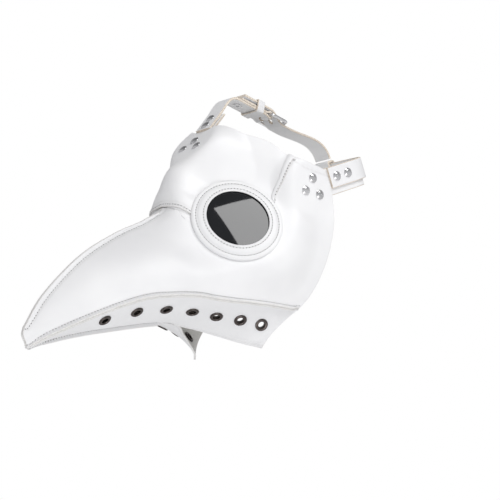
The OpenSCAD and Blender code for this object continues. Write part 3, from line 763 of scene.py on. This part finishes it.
# From a panel's border to its stitches
RIDGE_SEAM = 4.7
CHEEK_SEAM = 4.2
KEEL_SEAM = 3.4
BROW_SEAMS = (2.2, 5.4)
# How deep the leather sinks at a seam, how far that reaches and how much painted shade darkens it
SEAM_DIP = 0.3
DIP_SPREAD = 1.4
SEAM_PAINTED_SHADE = 0.28


def line_at(line, lengths, where):
    """Points of a line at distances along it."""
    return np.stack([np.interp(where, lengths, line[:, k]) for k in range(3)], -1)


def even_pitch(total, closed):
    """How many stitches fit, and their true pitch."""
    count = max(1, round(total / PITCH))
    return count, total / (count if closed else count + 0.25)


def stitch_tubes(line, normals, lengths, starts):
    """The arched threads that begin at distances along a line."""
    u = np.linspace(0, 1, 7)
    at = starts[:, None] + STITCH_LEN * u
    centre = line_at(line, lengths, at)
    up = unit(line_at(normals, lengths, at))
    side = unit(np.cross(up, np.gradient(centre, axis=1)))
    arch = column(0.45 * np.sin(math.pi * u)**0.5 - THREAD_SINK)
    radius = column(THREAD_R * (1 - 0.35 * np.abs(2 * u - 1)**3))
    return np.stack([centre + arch * up + radius * (c * side + s * up) for c, s in circle(6)], 2)


def needle_holes(line, normals, lengths, places):
    """Flat dark beads of painted shadow where the needle went through, at distances along a line.
    """
    centre = line_at(line, lengths, places)
    up = unit(line_at(normals, lengths, places))
    side = unit(np.cross(up, [0.3, 0.5, 0.8]))
    other = np.cross(up, side)
    beads = [[centre + height * up + share * NEEDLE_R * (c * side + s * other)
              for c, s in circle(8)] for height, share in BEAD]
    return np.moveaxis(np.array(beads), 2, 0)


def stitch_row(name, line, normals, closed=False):
    """One object that holds every stitch of a row, and the needle holes between them."""
    if closed:
        line, normals = np.vstack([line, line[:1]]), np.vstack([normals, normals[:1]])
    lengths = arc_lengths(line[None])[0]
    count, pitch = even_pitch(lengths[-1], closed)
    starts = FIRST_STITCH + pitch * np.arange(count if closed else count + 1)
    places = np.maximum(starts - (pitch - STITCH_LEN) / 2, 0)
    tubes = stitch_tubes(line, normals, lengths, starts[:count])
    holes = needle_holes(line, normals, lengths, places)
    indices = [0] * len(tubes) + [1] * len(holes)
    return joined(name, [swept(s) for s in (*tubes, *holes)], [THREAD, HOLE], indices)


def nearest_row(grid, distance, from_end=False):
    """The row that lies about a distance inside a border."""
    lengths = arc_lengths(grid)[len(grid) // 2]
    if from_end:
        return int(np.argmin(np.abs(lengths[-1] - lengths - distance)))
    return int(np.argmin(np.abs(lengths - distance)))


def sink_row(outer, normals, row, depth):
    """The surface pulled in along a row of stitches, deepest between them."""
    line = outer[:, row]
    lengths = arc_lengths(line[None])[0]
    _, pitch = even_pitch(lengths[-1], False)
    pulse = 0.7 + 0.3 * np.cos(2 * math.pi * lengths / pitch)
    distance = np.linalg.norm(outer - line[:, None], axis=-1)
    share = np.exp(-(distance / DIP_SPREAD)**2) * pulse[:, None]
    return outer - column(depth * share) * normals, share


def set_painted_shade(piece, grid_share):
    """Writes how much painted shade darkens each point of the outside; the other points stay
    unshaded.
    """
    values = np.zeros(len(piece.data.vertices), np.float32)
    flat = grid_share.ravel()
    values[:len(flat)] = flat
    layer = piece.data.attributes.new("painted_seam_shade", "FLOAT", "POINT")
    layer.data.foreach_set("value", values)


# ---- The five leather panels ----
def sewn_panel(name, inner, rows, skin, cutters, lift=GAP / 2, folded=False):
    """A panel with its holes, sunk and darkened with painted shade at its stitch rows: (row,
    depth, painted shade).

    Gives its outer face and normals too, for the stitches.
    """
    normals = grid_normals(inner)
    outer = inner + LEATHER_T * normals
    painted_seam_shade = np.zeros(inner.shape[:2])
    for row, depth, shade_amount in rows:
        outer, share = sink_row(outer, normals, row, depth)
        # The painted shade follows the seam's dip
        painted_seam_shade = np.maximum(painted_seam_shade, shade_amount * share)
    piece = leather_sheet(name, inner + lift * normals, outer, skin)
    set_painted_shade(piece, painted_seam_shade)
    return cut(piece, cutters, folded), outer, normals


def sewn_line(name, outer, normals, row, start, stop):
    """The stitches of one row of a panel, from a column to another."""
    return stitch_row(name, outer[start:stop, row], normals[start:stop, row])


POST_HOLE_R = 1.65


def eye_cutter(radius):
    """A hole on the eye's axis."""
    return placed(AT_EYE, prism(radius * circle(96), -20, 20))


def rivet_cutters(frame_matrix, places):
    """Rivet holes in one flat place."""
    post = prism(POST_HOLE_R * circle(20), -9, 9)
    return [placed(frame_matrix @ move(*p), post) for p in places]


def lower_normal(s, t):
    """Outward normal of the lower leather."""
    return unit(np.cross(lower_point(s, t + 0.02) - lower_point(s, t - 0.02),
                         lower_point(s + 0.05, t) - lower_point(s - 0.05, t)))


def eyelet_frames():
    """Frames on the inner face of the left lower panel, +Z outward."""
    frames = []
    for s, t in EYELET_PLACES:
        n = lower_normal(s, t)
        spin = turn("Z", math.degrees(math.atan2(n[1], n[0])))
        frames.append(move(*lower_point(s, t)) @ spin @ turn("Y", math.degrees(math.acos(n[2]))))
    return frames


def build_side_panels():
    """Both side panels with their ridge and cheek stitching."""
    inner = side_grid()
    ridge = nearest_row(inner, RIDGE_SEAM)
    cheek = nearest_row(inner, CHEEK_SEAM, from_end=True)
    cutters = [eye_cutter(BACKING_R + GAP)] + rivet_cutters(AT_TEMPLE, TEMPLE_RIVETS)
    rows = [(ridge, SEAM_DIP, SEAM_PAINTED_SHADE), (cheek, SEAM_DIP, SEAM_PAINTED_SHADE)]
    piece, *face = sewn_panel("left_side_leather", inner, rows, SKIN, cutters)
    both_sides(piece, "white_leather", "side_panel")
    for label, row, stop in (("ridge", ridge, column_at(BRIDGE_S - 0.35)),
                             ("cheek", cheek, len(inner) - 2)):
        thread = sewn_line(f"left_{label}_stitches", *face, row, 3, stop)
        both_sides(thread, "white_leather")


def build_lower_panels():
    """Both lower panels with their keel stitching."""
    inner = lower_grid()
    keel = nearest_row(inner, KEEL_SEAM, from_end=True)
    hole = prism((EYELET_BORE_D / 2 + 0.8) * circle(40), -6, 6)
    cutters = [placed(f, hole) for f in eyelet_frames()]
    rows = [(keel, SEAM_DIP, SEAM_PAINTED_SHADE)]
    piece, *face = sewn_panel("left_lower_leather", inner, rows, SHADED_LOWER_SKIN, cutters)
    both_sides(piece, "white_leather", "lower_panel")
    thread = sewn_line("left_keel_stitches", *face, keel, 5, column_at(KEEL_S - 0.5))
    both_sides(thread, "white_leather")


def build_forehead_panel():
    """The forehead panel, lapped over the side panels and sewn to them."""
    inner = brow_grid()
    sewn, pressed = (nearest_row(inner, d, from_end=True) for d in BROW_SEAMS)
    eye = eye_cutter(RING_D / 2 + GAP)
    cutters = [eye, placed(MIRROR, eye)] + rivet_cutters(AT_FOREHEAD, FOREHEAD_RIVETS)
    # Last values: how much painted shade darkens each stitch row
    rows = [(sewn, 0.3, 0.3), (pressed, 0.2, 0.2)]
    piece, *face = sewn_panel("forehead_leather", inner, rows, SKIN, cutters, 0, folded=True)
    stands_for(piece, "white_leather", "forehead_panel")
    stands_for(sewn_line("brow_stitches", *face, sewn, 3, -3), "white_leather")


# ---- Round pieces ----
def rounded(outline, radius, steps=4):
    """A closed outline with each corner turned into a short curve."""
    outline = np.asarray(outline, float)
    points = []
    for k, corner in enumerate(outline):
        back, ahead = outline[k - 1] - corner, outline[(k + 1) % len(outline)] - corner
        reach = min(radius, 0.45 * np.linalg.norm(back), 0.45 * np.linalg.norm(ahead))
        a, b = corner + reach * unit(back), corner + reach * unit(ahead)
        for t in np.linspace(0, 1, steps):
            points.append(a * (1 - t)**2 + corner * 2 * t * (1 - t) + b * t**2)
    return np.array(points)


def rounded_box(x0, y0, x1, y1, radius, steps):
    """A rectangle's outline with rounded corners."""
    return rounded([(x0, y0), (x1, y0), (x1, y1), (x0, y1)], radius, steps)


def lathe(name, outline, frames, materials, sides=72, radius=0.3):
    """A closed outline (radius, height) turned about Z in each of several frames."""
    rings = [np.c_[r * circle(sides), np.full(sides, z)] for r, z in rounded(outline, radius)]
    shape = swept(np.array(rings), closed=True)
    return joined(name, [placed(f, shape) for f in frames], materials)


def build_eyes():
    """Stitched eye rings and domed smoked lenses."""
    lip = OPENING_D / 2
    edge = RING_D / 2
    seat = LENS_Z + LENS_T + 0.9
    ring = [(edge, GAP), (edge, 2.1), (edge - 1.2, 3.1), (edge - 3.1, 3.4), (edge - 4.0, 3.15),
            (edge - 5, 3.6), (lip + 7, 4.8), (lip + 3.7, 5.5), (lip + 2.9, 5.3), (lip + 2.1, 5.7),
            (lip + 0.8, RING_RISE), (lip, RING_RISE - 0.6), (lip, seat), (LENS_D / 2 + 0.3, seat),
            (LENS_D / 2 + 0.3, LENS_Z), (BACKING_R + 0.4, GAP)]
    piece = lathe("left_eye_ring_leather", ring, [AT_EYE], [WHITE], sides=144, radius=0.8)
    # The eye ring gets no painted seam shade
    set_painted_shade(piece, np.zeros((0,)))
    both_sides(piece, "ring_leather", "eye_ring")
    for label, radius, height in (("outer", edge - 4.0, 3.25), ("inner", lip + 2.9, 5.4)):
        line = transformed(AT_EYE, np.c_[radius * circle(240), np.full(240, height)])
        thread = stitch_row(f"left_ring_{label}_stitches", line, np.tile(EYE_N, (240, 1)), True)
        both_sides(thread, "ring_leather")
    both_sides(domed_lens(), "smoked_lens", "lens")


LENS_DOME_R = 360


def domed_lens(rings=24, sides=96):
    """A thin lens whose front is a shallow dome."""
    radius = LENS_D / 2
    r = radius * np.sin(np.linspace(0, math.pi / 2, rings))
    front = LENS_Z + LENS_T - 0.3 + (radius**2 - r**2) / (2 * LENS_DOME_R)
    r = np.concatenate([r, [radius, radius]])
    z = np.concatenate([front, [LENS_Z + 0.2, LENS_Z]])
    r, z = np.concatenate([r, r[rings - 2::-1]]), np.concatenate([z, front[rings - 2::-1] - 1.1])
    rings = np.array([np.c_[a * circle(sides), np.full(sides, b)] for a, b in zip(r, z)])
    return joined("left_smoked_lens", [placed(AT_EYE, swept(rings))], [SMOKED])


def build_eyelets():
    """Rolled eyelets in the lower panels."""
    bore = EYELET_BORE_D / 2
    low = -2 * GAP - WASHER_T
    seat = LEATHER_T + 0.15
    outline = [(bore, low - 0.4), (bore + 1.5, low - 0.4), (bore + 1.5, low), (bore + 0.6, low),
               (bore + 0.6, seat), (EYELET_D / 2, seat), (EYELET_D / 2 - 0.2, seat + 0.7),
               (bore + 1.9, seat + 1.25), (bore + 0.5, seat + 1.05), (bore, seat + 0.4)]
    piece = lathe("left_rolled_eyelets", outline, eyelet_frames(), [GUNMETAL], 56, 0.5)
    both_sides(piece, "eyelet_gunmetal", "eyelets")


def caps(name, d, frames):
    """Rivet caps with a narrow rim and a domed top."""
    r = d / 2
    outline = [(0.01, 0.05), (r, 0.05), (r, 0.6), (r - 0.45, 0.85), (r - 0.75, 0.8),
               (0.72 * r, 1.45), (0.4 * r, 1.95), (0.01, CAP_H)]
    return lathe(name, outline, frames, [NICKEL], 48, 0.25)


def cap_frames(base, places, face):
    """Frames of the rivet caps in one flat place."""
    return [base @ move(x, y, face) for x, y in places]


def build_rivets():
    """Domed caps. Their backs stay as the CAD made them."""
    for node, places, face in (("temple_rivet_caps", TEMPLE_RIVETS, LEATHER_T),
                               ("strap_rivet_caps", STRAP_RIVETS, STRAP_T)):
        piece = caps(f"left_domed_{node}", CAP_D, cap_frames(AT_TEMPLE, places, face))
        both_sides(piece, "rivet_steel", node)
    folds = [m @ move(FOLD_RIVET_U, 0, STRAP_T) for m in (AT_REAR_BUCKLE, AT_TOP_BUCKLE)]
    panel = cap_frames(AT_FOREHEAD, FOREHEAD_RIVETS, LEATHER_T + GAP)
    for node, d, frames in (("forehead_rivet_caps", CAP_D, panel),
                            ("top_strap_rivet_caps", CAP_D,
                             cap_frames(AT_FOREHEAD, CROWN_RIVETS, STRAP_T)),
                            ("fold_rivet_caps", FOLD_CAP_D, folds)):
        stands_for(caps(f"domed_{node}", d, frames), "rivet_steel", node)


# ---- Straps and tabs: a section swept along a flat path ----
def bend(a, da, b, db, steps=20):
    """Smooth path from a to b that leaves along da and arrives along db."""
    a, da, b, db = (np.asarray(v, float) for v in (a, da, b, db))
    t = column(np.linspace(0, 1, steps))
    return bezier(a, a + da, b - db, b, t)


def direction(degrees):
    """Unit vector in the plane."""
    return np.array([math.cos(math.radians(degrees)), math.sin(math.radians(degrees))])


def beside(origin, degrees, side=1):
    """A function from (along, away) to a point in a strap's plane, from a face's middle."""
    run, out = direction(degrees), side * direction(degrees + 90)
    return lambda along_it, away: np.array(origin) + along_it * run + away * out


temple_path = beside(TEMPLE, 90 - ANCHOR_TURN, -1)
forehead_path = beside(FOREHEAD_C[1:], CROWN_SLOPE)
rear_path = beside(REAR_BUCKLE, REAR_TURN)
crown_path = beside(CROWN_BUCKLE, -CROWN_TURN)


TAIL_LOW = -3.2
TAIL_HIGH = 5.9
TAIL_FROM = 22
TAIL_TO = -34
TAIL_RISE = 18


def tail(place):
    """The free end of a strap as it passes through its buckle and keeper."""
    u = np.linspace(TAIL_FROM, TAIL_TO, 41)
    away = mix(TAIL_LOW, TAIL_HIGH, smooth((TAIL_RISE - u) / TAIL_RISE))
    return np.array([place(a, b) for a, b in zip(u, away)])


def fold(place):
    """The strap end that folds around the hinge bar and comes back on itself."""
    half, ring = STRAP_T / 2, WIRE_R + 0.1 + STRAP_T / 2
    angles = np.radians(np.linspace(-125, 125, 26))
    around = ring * np.stack([np.cos(angles), np.sin(angles)], 1)
    start = bend((-9, -half), (3, 0), around[0], 2.2 * direction(-35), 8)
    back = bend(around[-1], 2.2 * direction(215), (-9, half), (-3, 0), 8)
    flat = np.concatenate([[[-FOLD_LEN, -half]], start[:-1], around, back[1:],
                           [[-FOLD_LEN, half]]])
    return np.array([place(u, n) for u, n in flat])


# Middle of the strap's thickness
MID = STRAP_T / 2
TEMPLE_START = 21
TEMPLE_END = 48
FRONT_START = 18
FRONT_END = 38


def left_strap_path():
    """From the left temple around the head and through the rear buckle."""
    run, back = direction(90 - ANCHOR_TURN), np.array(REAR_BACK)
    return np.concatenate([
        [temple_path(TEMPLE_START, MID)],
        bend(temple_path(TEMPLE_END, MID), 30 * run, back, (-44, 0), 40),
        bend(back + [-2, -0.03], (-4, 0), rear_path(TAIL_FROM + 4, TAIL_LOW),
             -4 * direction(REAR_TURN), 8),
        tail(rear_path)])


def folded_path(anchor, start, end, handle, buckle):
    """From an anchor tab to the fold at a buckle."""
    leave, arrive = (handle * (place(1, 0) - place(0, 0)) for place in (anchor, buckle))
    return np.concatenate([
        [anchor(start, MID)],
        bend(anchor(end, MID), leave, buckle(-FOLD_LEN - 3, -MID), arrive, 24),
        fold(buckle)])


def right_strap_path():
    """From the right temple to the fold at the rear buckle."""
    right_temple = beside(np.array(TEMPLE) * [-1, 1], 90 + ANCHOR_TURN)
    return folded_path(right_temple, TEMPLE_START, TEMPLE_END, 9, rear_path)


def front_strap_path():
    """From the forehead to the fold at the crown buckle."""
    return folded_path(forehead_path, FRONT_START, FRONT_END, 12, crown_path)


def loop_path(y, z):
    """Beside the rear strap, in the middle plane: y outward and z up the tilted plane."""
    p = transformed(in_harness(STRAP_LIFT), [0, REAR_BACK[1] + y, z])
    return p[1:]


LOOP_Y = STRAP_T / 2 + 1.2
LOOP_Z = STRAP_W / 2 + 0.5


def back_strap_path():
    """From the loop on the rear strap up and through the crown buckle."""
    up = direction(90 + HARNESS_TILT)
    return np.concatenate([
        bend(loop_path(0, LOOP_Z + 4), 22 * up, crown_path(TAIL_FROM + 4, TAIL_LOW),
             -24 * direction(-CROWN_TURN), 30),
        tail(crown_path)])


def back_loop_path():
    """Once around the rear strap, closed, through the middle of the leather."""
    y, z = LOOP_Y + STRAP_T / 2, LOOP_Z + STRAP_T / 2
    return np.array([loop_path(a, b) for a, b in rounded_box(-y, -z, y, z, 1.6, 8)])


def even_path(path, step=1.2):
    """A path at even steps."""
    length = arc_lengths(path[None])[0]
    at = np.linspace(0, length[-1], max(4, round(length[-1] / step)))
    return np.stack([np.interp(at, length, path[:, k]) for k in range(2)], 1)


def strap_section(width, thickness, crown=0.12):
    """Closed section (across, out) of a strap with eased edges."""
    half, t = width / 2, thickness / 2
    across = np.linspace(-half + 0.7, half - 0.7, 15)
    top = np.stack([across, t - crown * (across / half)**2], 1)
    under = np.stack([across[::-1], np.full(15, -t)], 1)
    right = [(half - 0.2, t - 0.35), (half, 0), (half - 0.2, -t + 0.35)]
    left = [(-half + 0.2, -t + 0.35), (-half, 0), (-half + 0.2, t - 0.35)]
    return np.concatenate([top, right, under, left])


# Sides of the section that are cut edges
CUT_SIDES = [*range(14, 18), *range(32, 36)]
def ribbon(name, path, plane, width, thickness, closed=False):
    """A strap swept along a flat path that lies in a plane's X and Y."""
    section = strap_section(width, thickness)
    step = np.diff(np.vstack([path[-1:], path, path[:1]]), axis=0)
    if not closed:
        step[0], step[-1] = step[1], step[-2]
    run = unit(unit(step[:-1]) + unit(step[1:]))
    out = np.stack([-run[:, 1], run[:, 0]], 1)
    flat = path[:, None] + section[None, :, 1:] * out[:, None]
    across = np.broadcast_to(section[None, :, :1], (len(path), len(section), 1))
    shape = swept(transformed(plane, np.concatenate([flat, across], 2)), closed)
    edges = [k % len(section) in CUT_SIDES for k in range(len(shape[1]))]
    if not closed:
        edges[-2:] = True, True
    return fix_normals(make_mesh(name, *shape, STRAP_SKIN, edges))


SLOT_W = 4.4


def slot_cutters(frame_matrix):
    """The prong slot and the two spare slots in a strap tail."""
    slots = [(6.2, 8.1, -8, 10), (-14, 4, 3.6, 8), (-26, 4, 3.6, 8)]
    return [placed(frame_matrix @ move(u, 0), slot_prism(length, SLOT_W, low, high))
            for u, length, low, high in slots]


def fold_cutter(frame_matrix):
    """The gap in a fold that the prong's loop turns in."""
    return [placed(frame_matrix @ move(1.5, 0), slot_prism(7, 5.2, -9, 9))]


def soften(piece, width=0.25):
    """A small bevel on a piece's sharp edges."""
    bevel = piece.modifiers.new("bevel", "BEVEL")
    bevel.width = width * MM
    bevel.segments = 2
    bevel.limit_method = "ANGLE"
    bevel.angle_limit = math.radians(40)
    bevel.harden_normals = True
    return piece


def cut_strap(node, path, plane, size, cutters):
    """A strap or tab with its holes and eased edges."""
    piece = cut(ribbon(f"{node}_leather", path, plane, *size), cutters)
    stands_for(soften(piece), "strap_leather", node)


def build_straps():
    """Head straps, from their tabs to their buckles."""
    rear_plane = in_harness(STRAP_LIFT)
    straps = [
        ("left_strap", left_strap_path(), rear_plane, slot_cutters(AT_REAR_BUCKLE)),
        ("right_strap", right_strap_path(), rear_plane, fold_cutter(AT_REAR_BUCKLE)),
        ("top_strap_front", front_strap_path(), MIDDLE_PLANE, fold_cutter(AT_TOP_BUCKLE)),
        ("top_strap_back", back_strap_path(), MIDDLE_PLANE, slot_cutters(AT_TOP_BUCKLE))]
    for node, path, plane, cutters in straps:
        cut_strap(node, even_path(path), plane, (STRAP_W, STRAP_T), cutters)
    loop = ribbon("top_strap_loop", back_loop_path(), MIDDLE_PLANE, STRAP_W - 0.6, STRAP_T, True)
    stands_for(loop, "strap_leather")


def tab_path(strap, start, count, inward):
    """Inside its strap, from the start point on."""
    path = even_path(np.concatenate([[start], strap[1:count]]))
    run = unit(np.gradient(path, axis=0))
    normal = np.stack([-run[:, 1], run[:, 0]], 1)
    return path + inward * (STRAP_T / 2 + GAP + TAB_T / 2) * normal


def build_tabs():
    """Anchor tabs riveted under the panels."""
    start = temple_path(-17, STRAP_T / 2)
    left = tab_path(left_strap_path(), start, 11, 1)
    right = tab_path(right_strap_path(), start * [-1, 1], 18, -1)
    middle = even_path(np.array([forehead_path(a, -TAB_T / 2) for a in (-15, 40)]))
    sides, front = TEMPLE_RIVETS + STRAP_RIVETS, FOREHEAD_RIVETS + CROWN_RIVETS
    tabs = [("left_temple_tab", left, in_harness(), AT_TEMPLE, sides),
            ("right_temple_tab", right, in_harness(), MIRROR @ AT_TEMPLE, sides),
            ("forehead_tab", middle, MIDDLE_PLANE, AT_FOREHEAD, front)]
    for node, path, plane, base, places in tabs:
        cut_strap(node, path, plane, (TAB_W, TAB_T), rivet_cutters(base, places))


# ---- Buckles and keepers ----
def wire(line, radius, closed=False):
    """Round wire along a line of points. Radius may change along it."""
    ahead = np.roll(line, -1, 0) - np.roll(line, 1, 0) if closed else np.gradient(line, axis=0)
    run = unit(ahead)
    side = unit(np.cross(run, [0, 0, 1.0]))
    up = np.cross(side, run)
    radius = column(np.broadcast_to(radius, len(line)))
    return swept(np.stack([line + radius * (c * side + s * up) for c, s in circle(20)], 1), closed)


def frame_line():
    """Rounded rectangle of the buckle's wire, in its own frame."""
    half = WINDOW_W / 2 + WIRE_R
    flat = rounded_box(0, -half, BUCKLE_LEN, half, 3.6, 14)
    return np.c_[flat, np.zeros(len(flat))]


def prong_shapes():
    """The prong: a loop around the hinge bar and a tapered rod that rests on the far bar."""
    around = (WIRE_R + 0.75) * circle(40)
    ring = flat_loop(np.stack([around[:, 0], np.zeros(40), around[:, 1]], 1), 1.5, 0.68)
    u = np.linspace(1.2, BUCKLE_LEN + 2.6, 26)
    share = (u - u[0]) / (u[-1] - u[0])
    height = mix(1.9, WIRE_R + 1.25, smooth(share * 1.1)) + 0.15 * np.sin(math.pi * share)
    radius = 1.15 * (1 - 0.3 * share**3) * np.sqrt(np.clip(1 - share**24, 0.02, 1))
    return [ring, wire(np.stack([u, np.zeros(26), height], 1), radius)]


def flat_loop(line, half_width, half_thick):
    """A flat band around the Y axis along a closed line."""
    section = rounded_box(-half_width, -half_thick, half_width, half_thick, 0.3, 4)
    rings = [line + a * np.array([0, 1, 0]) + b * unit(line) for a, b in section]
    return swept(np.stack(rings, 1), True)


KEEPER_U = -14
KEEPER_T = 1.5
KEEPER_GAP = 0.35


def keeper(name, frame_matrix):
    """A leather band around both plies of a strap."""
    half = (STRAP_W + 0.8 + KEEPER_T) / 2
    low = -STRAP_T - KEEPER_GAP - KEEPER_T / 2
    high = TAIL_HIGH + STRAP_T / 2 + KEEPER_GAP + KEEPER_T / 2
    across = frame_matrix @ move(KEEPER_U, 0) @ turn("Z", 90) @ turn("X", 90)
    path = rounded_box(-half, low, half, high, 2.2, 8)
    return ribbon(name, path, across, KEEPER_LEN, KEEPER_T, True)


def build_buckles():
    """Both wire buckles with their prongs and keepers, each on its own body."""
    for end, matrix in (("rear", AT_REAR_BUCKLE), ("top", AT_TOP_BUCKLE)):
        metal = [("wire_frame", "buckle_frame", [wire(frame_line(), WIRE_R, True)]),
                 ("prong", "buckle_prong", prong_shapes())]
        for label, body, shapes in metal:
            piece = joined(f"{end}_{label}", [placed(matrix, s) for s in shapes], [NICKEL])
            stands_for(piece, "buckle_steel", f"{end}_{body}", body=f"{end}_{body}")
        stands_for(keeper(f"{end}_keeper_band", matrix), "strap_leather", f"{end}_keeper",
                   body=f"{end}_keeper")


def dress_cad_nodes():
    """Finishes for the small CAD pieces that stay."""
    finish = {"eyelet_washers": GUNMETAL, "rivet_backs": NICKEL, "lens_backing": WHITE}
    for name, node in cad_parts.items():
        for ending, material in finish.items():
            if name.endswith(ending):
                node.data.materials.clear()
                node.data.materials.append(material)
                soften(node, 0.12)


# ---- Stage, light and camera ----
VIEW_AZ = 48
VIEW_EL = -12
VIEW_DISTANCE = 1.9
FOCAL_MM = 146.4
CAMERA_SHIFT = (0.014, -0.028)
EYE_HEIGHT = 1650
AMBIENT = 0.61
KEY_ROLL = 24
KEY_DISTANCE = 1.3
KEY_SHIFT = (0.225, -0.027)
KEY_SIZE = (0.62, 0.5)
KEY_POWER = 7
# Name, distance, azimuth, elevation, size, power, seen in reflections
FILLS = [("low", 2.0, 60, -50, 1.4, 19, True), ("front", 2.2, 60, 35, 1.2, 9.5, False),
         ("side", 2.4, -40, 30, 1.6, 8, False)]


def heading(azimuth, elevation):
    """From the object toward a viewer at that azimuth and elevation."""
    a, e = math.radians(azimuth), math.radians(elevation)
    return Vector((math.sin(a) * math.cos(e), -math.cos(a) * math.cos(e), math.sin(e)))


def aimed(name, data, place, target):
    """A light or camera in its place, pointed at a target."""
    thing = linked(name, data)
    thing.location = place
    thing.rotation_mode = "QUATERNION"
    thing.rotation_quaternion = (Vector(target) - Vector(place)).to_track_quat("-Z", "Y")
    return thing


def build_camera():
    """The camera looks slightly up at the mask from its left front."""
    data = bpy.data.cameras.new("camera")
    data.lens = FOCAL_MM
    data.sensor_width = 36
    data.shift_x, data.shift_y = CAMERA_SHIFT
    camera = aimed("camera", data, VIEW_DISTANCE * heading(VIEW_AZ, VIEW_EL), (0, 0, 0))
    bpy.context.scene.camera = camera


def softbox(name, place, target, size, power):
    """A rectangular area light."""
    data = bpy.data.lights.new(name, "AREA")
    data.shape = "RECTANGLE"
    data.size, data.size_y = size
    data.energy = power
    return aimed(name, data, place, target)


def build_world():
    """White to the camera; as light, pale surroundings that are dimmer overhead and below."""
    world = bpy.data.worlds.new("studio")
    bpy.context.scene.world = world
    world.use_nodes = True
    tree = world.node_tree
    place = add_node(tree, "TexCoord").outputs["Generated"]
    ramp = add_node(tree, "ValToRGB", Fac=add_node(tree, "SeparateXYZ", Vector=place).outputs["Z"])
    for stop, level in zip(ramp.color_ramp.elements, (AMBIENT, 0.2 * AMBIENT)):
        stop.color = (level, level, 1.02 * level, 1)
    seen = add_node(tree, "LightPath").outputs["Is Camera Ray"]
    colour = blended(tree, seen, ramp.outputs["Color"], (1, 1, 1, 1))
    tree.links.new(colour, tree.nodes["Background"].inputs["Color"])


def build_floor():
    """A pale floor at the feet of a standing wearer."""
    rim = np.c_[6000 * circle(96), np.full(96, -EYE_HEIGHT)]
    paint = Paint("floor", Roughness=0.6, Emission_Color=(1, 1, 1, 1), Emission_Strength=0.33)
    paint.colours(paint.noise(3), (0.3, grey(0.80)), (0.7, grey(0.84)))
    make_mesh("floor", rim, [list(range(96))], [paint.material])


def build_lights():
    """A softbox that the left lens mirrors toward the camera, and soft fills."""
    eye, normal = Vector(AT_EYE[:3, 3]) * MM, Vector(EYE_N)
    toward = (VIEW_DISTANCE * heading(VIEW_AZ, VIEW_EL) - eye).normalized()
    across = Vector((0, 0, 1)).cross(toward).normalized()
    seen_x, seen_y = across.reflect(normal), toward.cross(across).reflect(normal)
    back = -toward.reflect(normal)
    roll = math.radians(KEY_ROLL)
    lamp_x = math.cos(roll) * seen_x + math.sin(roll) * seen_y
    place = eye + KEY_DISTANCE * back + KEY_SHIFT[0] * seen_x + KEY_SHIFT[1] * seen_y
    key = softbox("key", place, eye, KEY_SIZE, KEY_POWER)
    turned = Matrix((lamp_x, back.cross(lamp_x), back)).transposed()
    key.rotation_quaternion = turned.to_quaternion()
    for name, distance, azimuth, elevation, size, power, glossy in FILLS:
        place = distance * heading(azimuth, elevation)
        lamp = softbox(name, place, (0, -0.1, 0), (size, size), power)
        lamp.visible_glossy = glossy


build_camera()
build_world()
build_floor()
build_lights()
bpy.context.scene.view_settings.view_transform = "Standard"

build_side_panels()
build_lower_panels()
build_forehead_panel()
build_eyes()
build_eyelets()
build_rivets()
build_straps()
build_tabs()
build_buckles()
dress_cad_nodes()
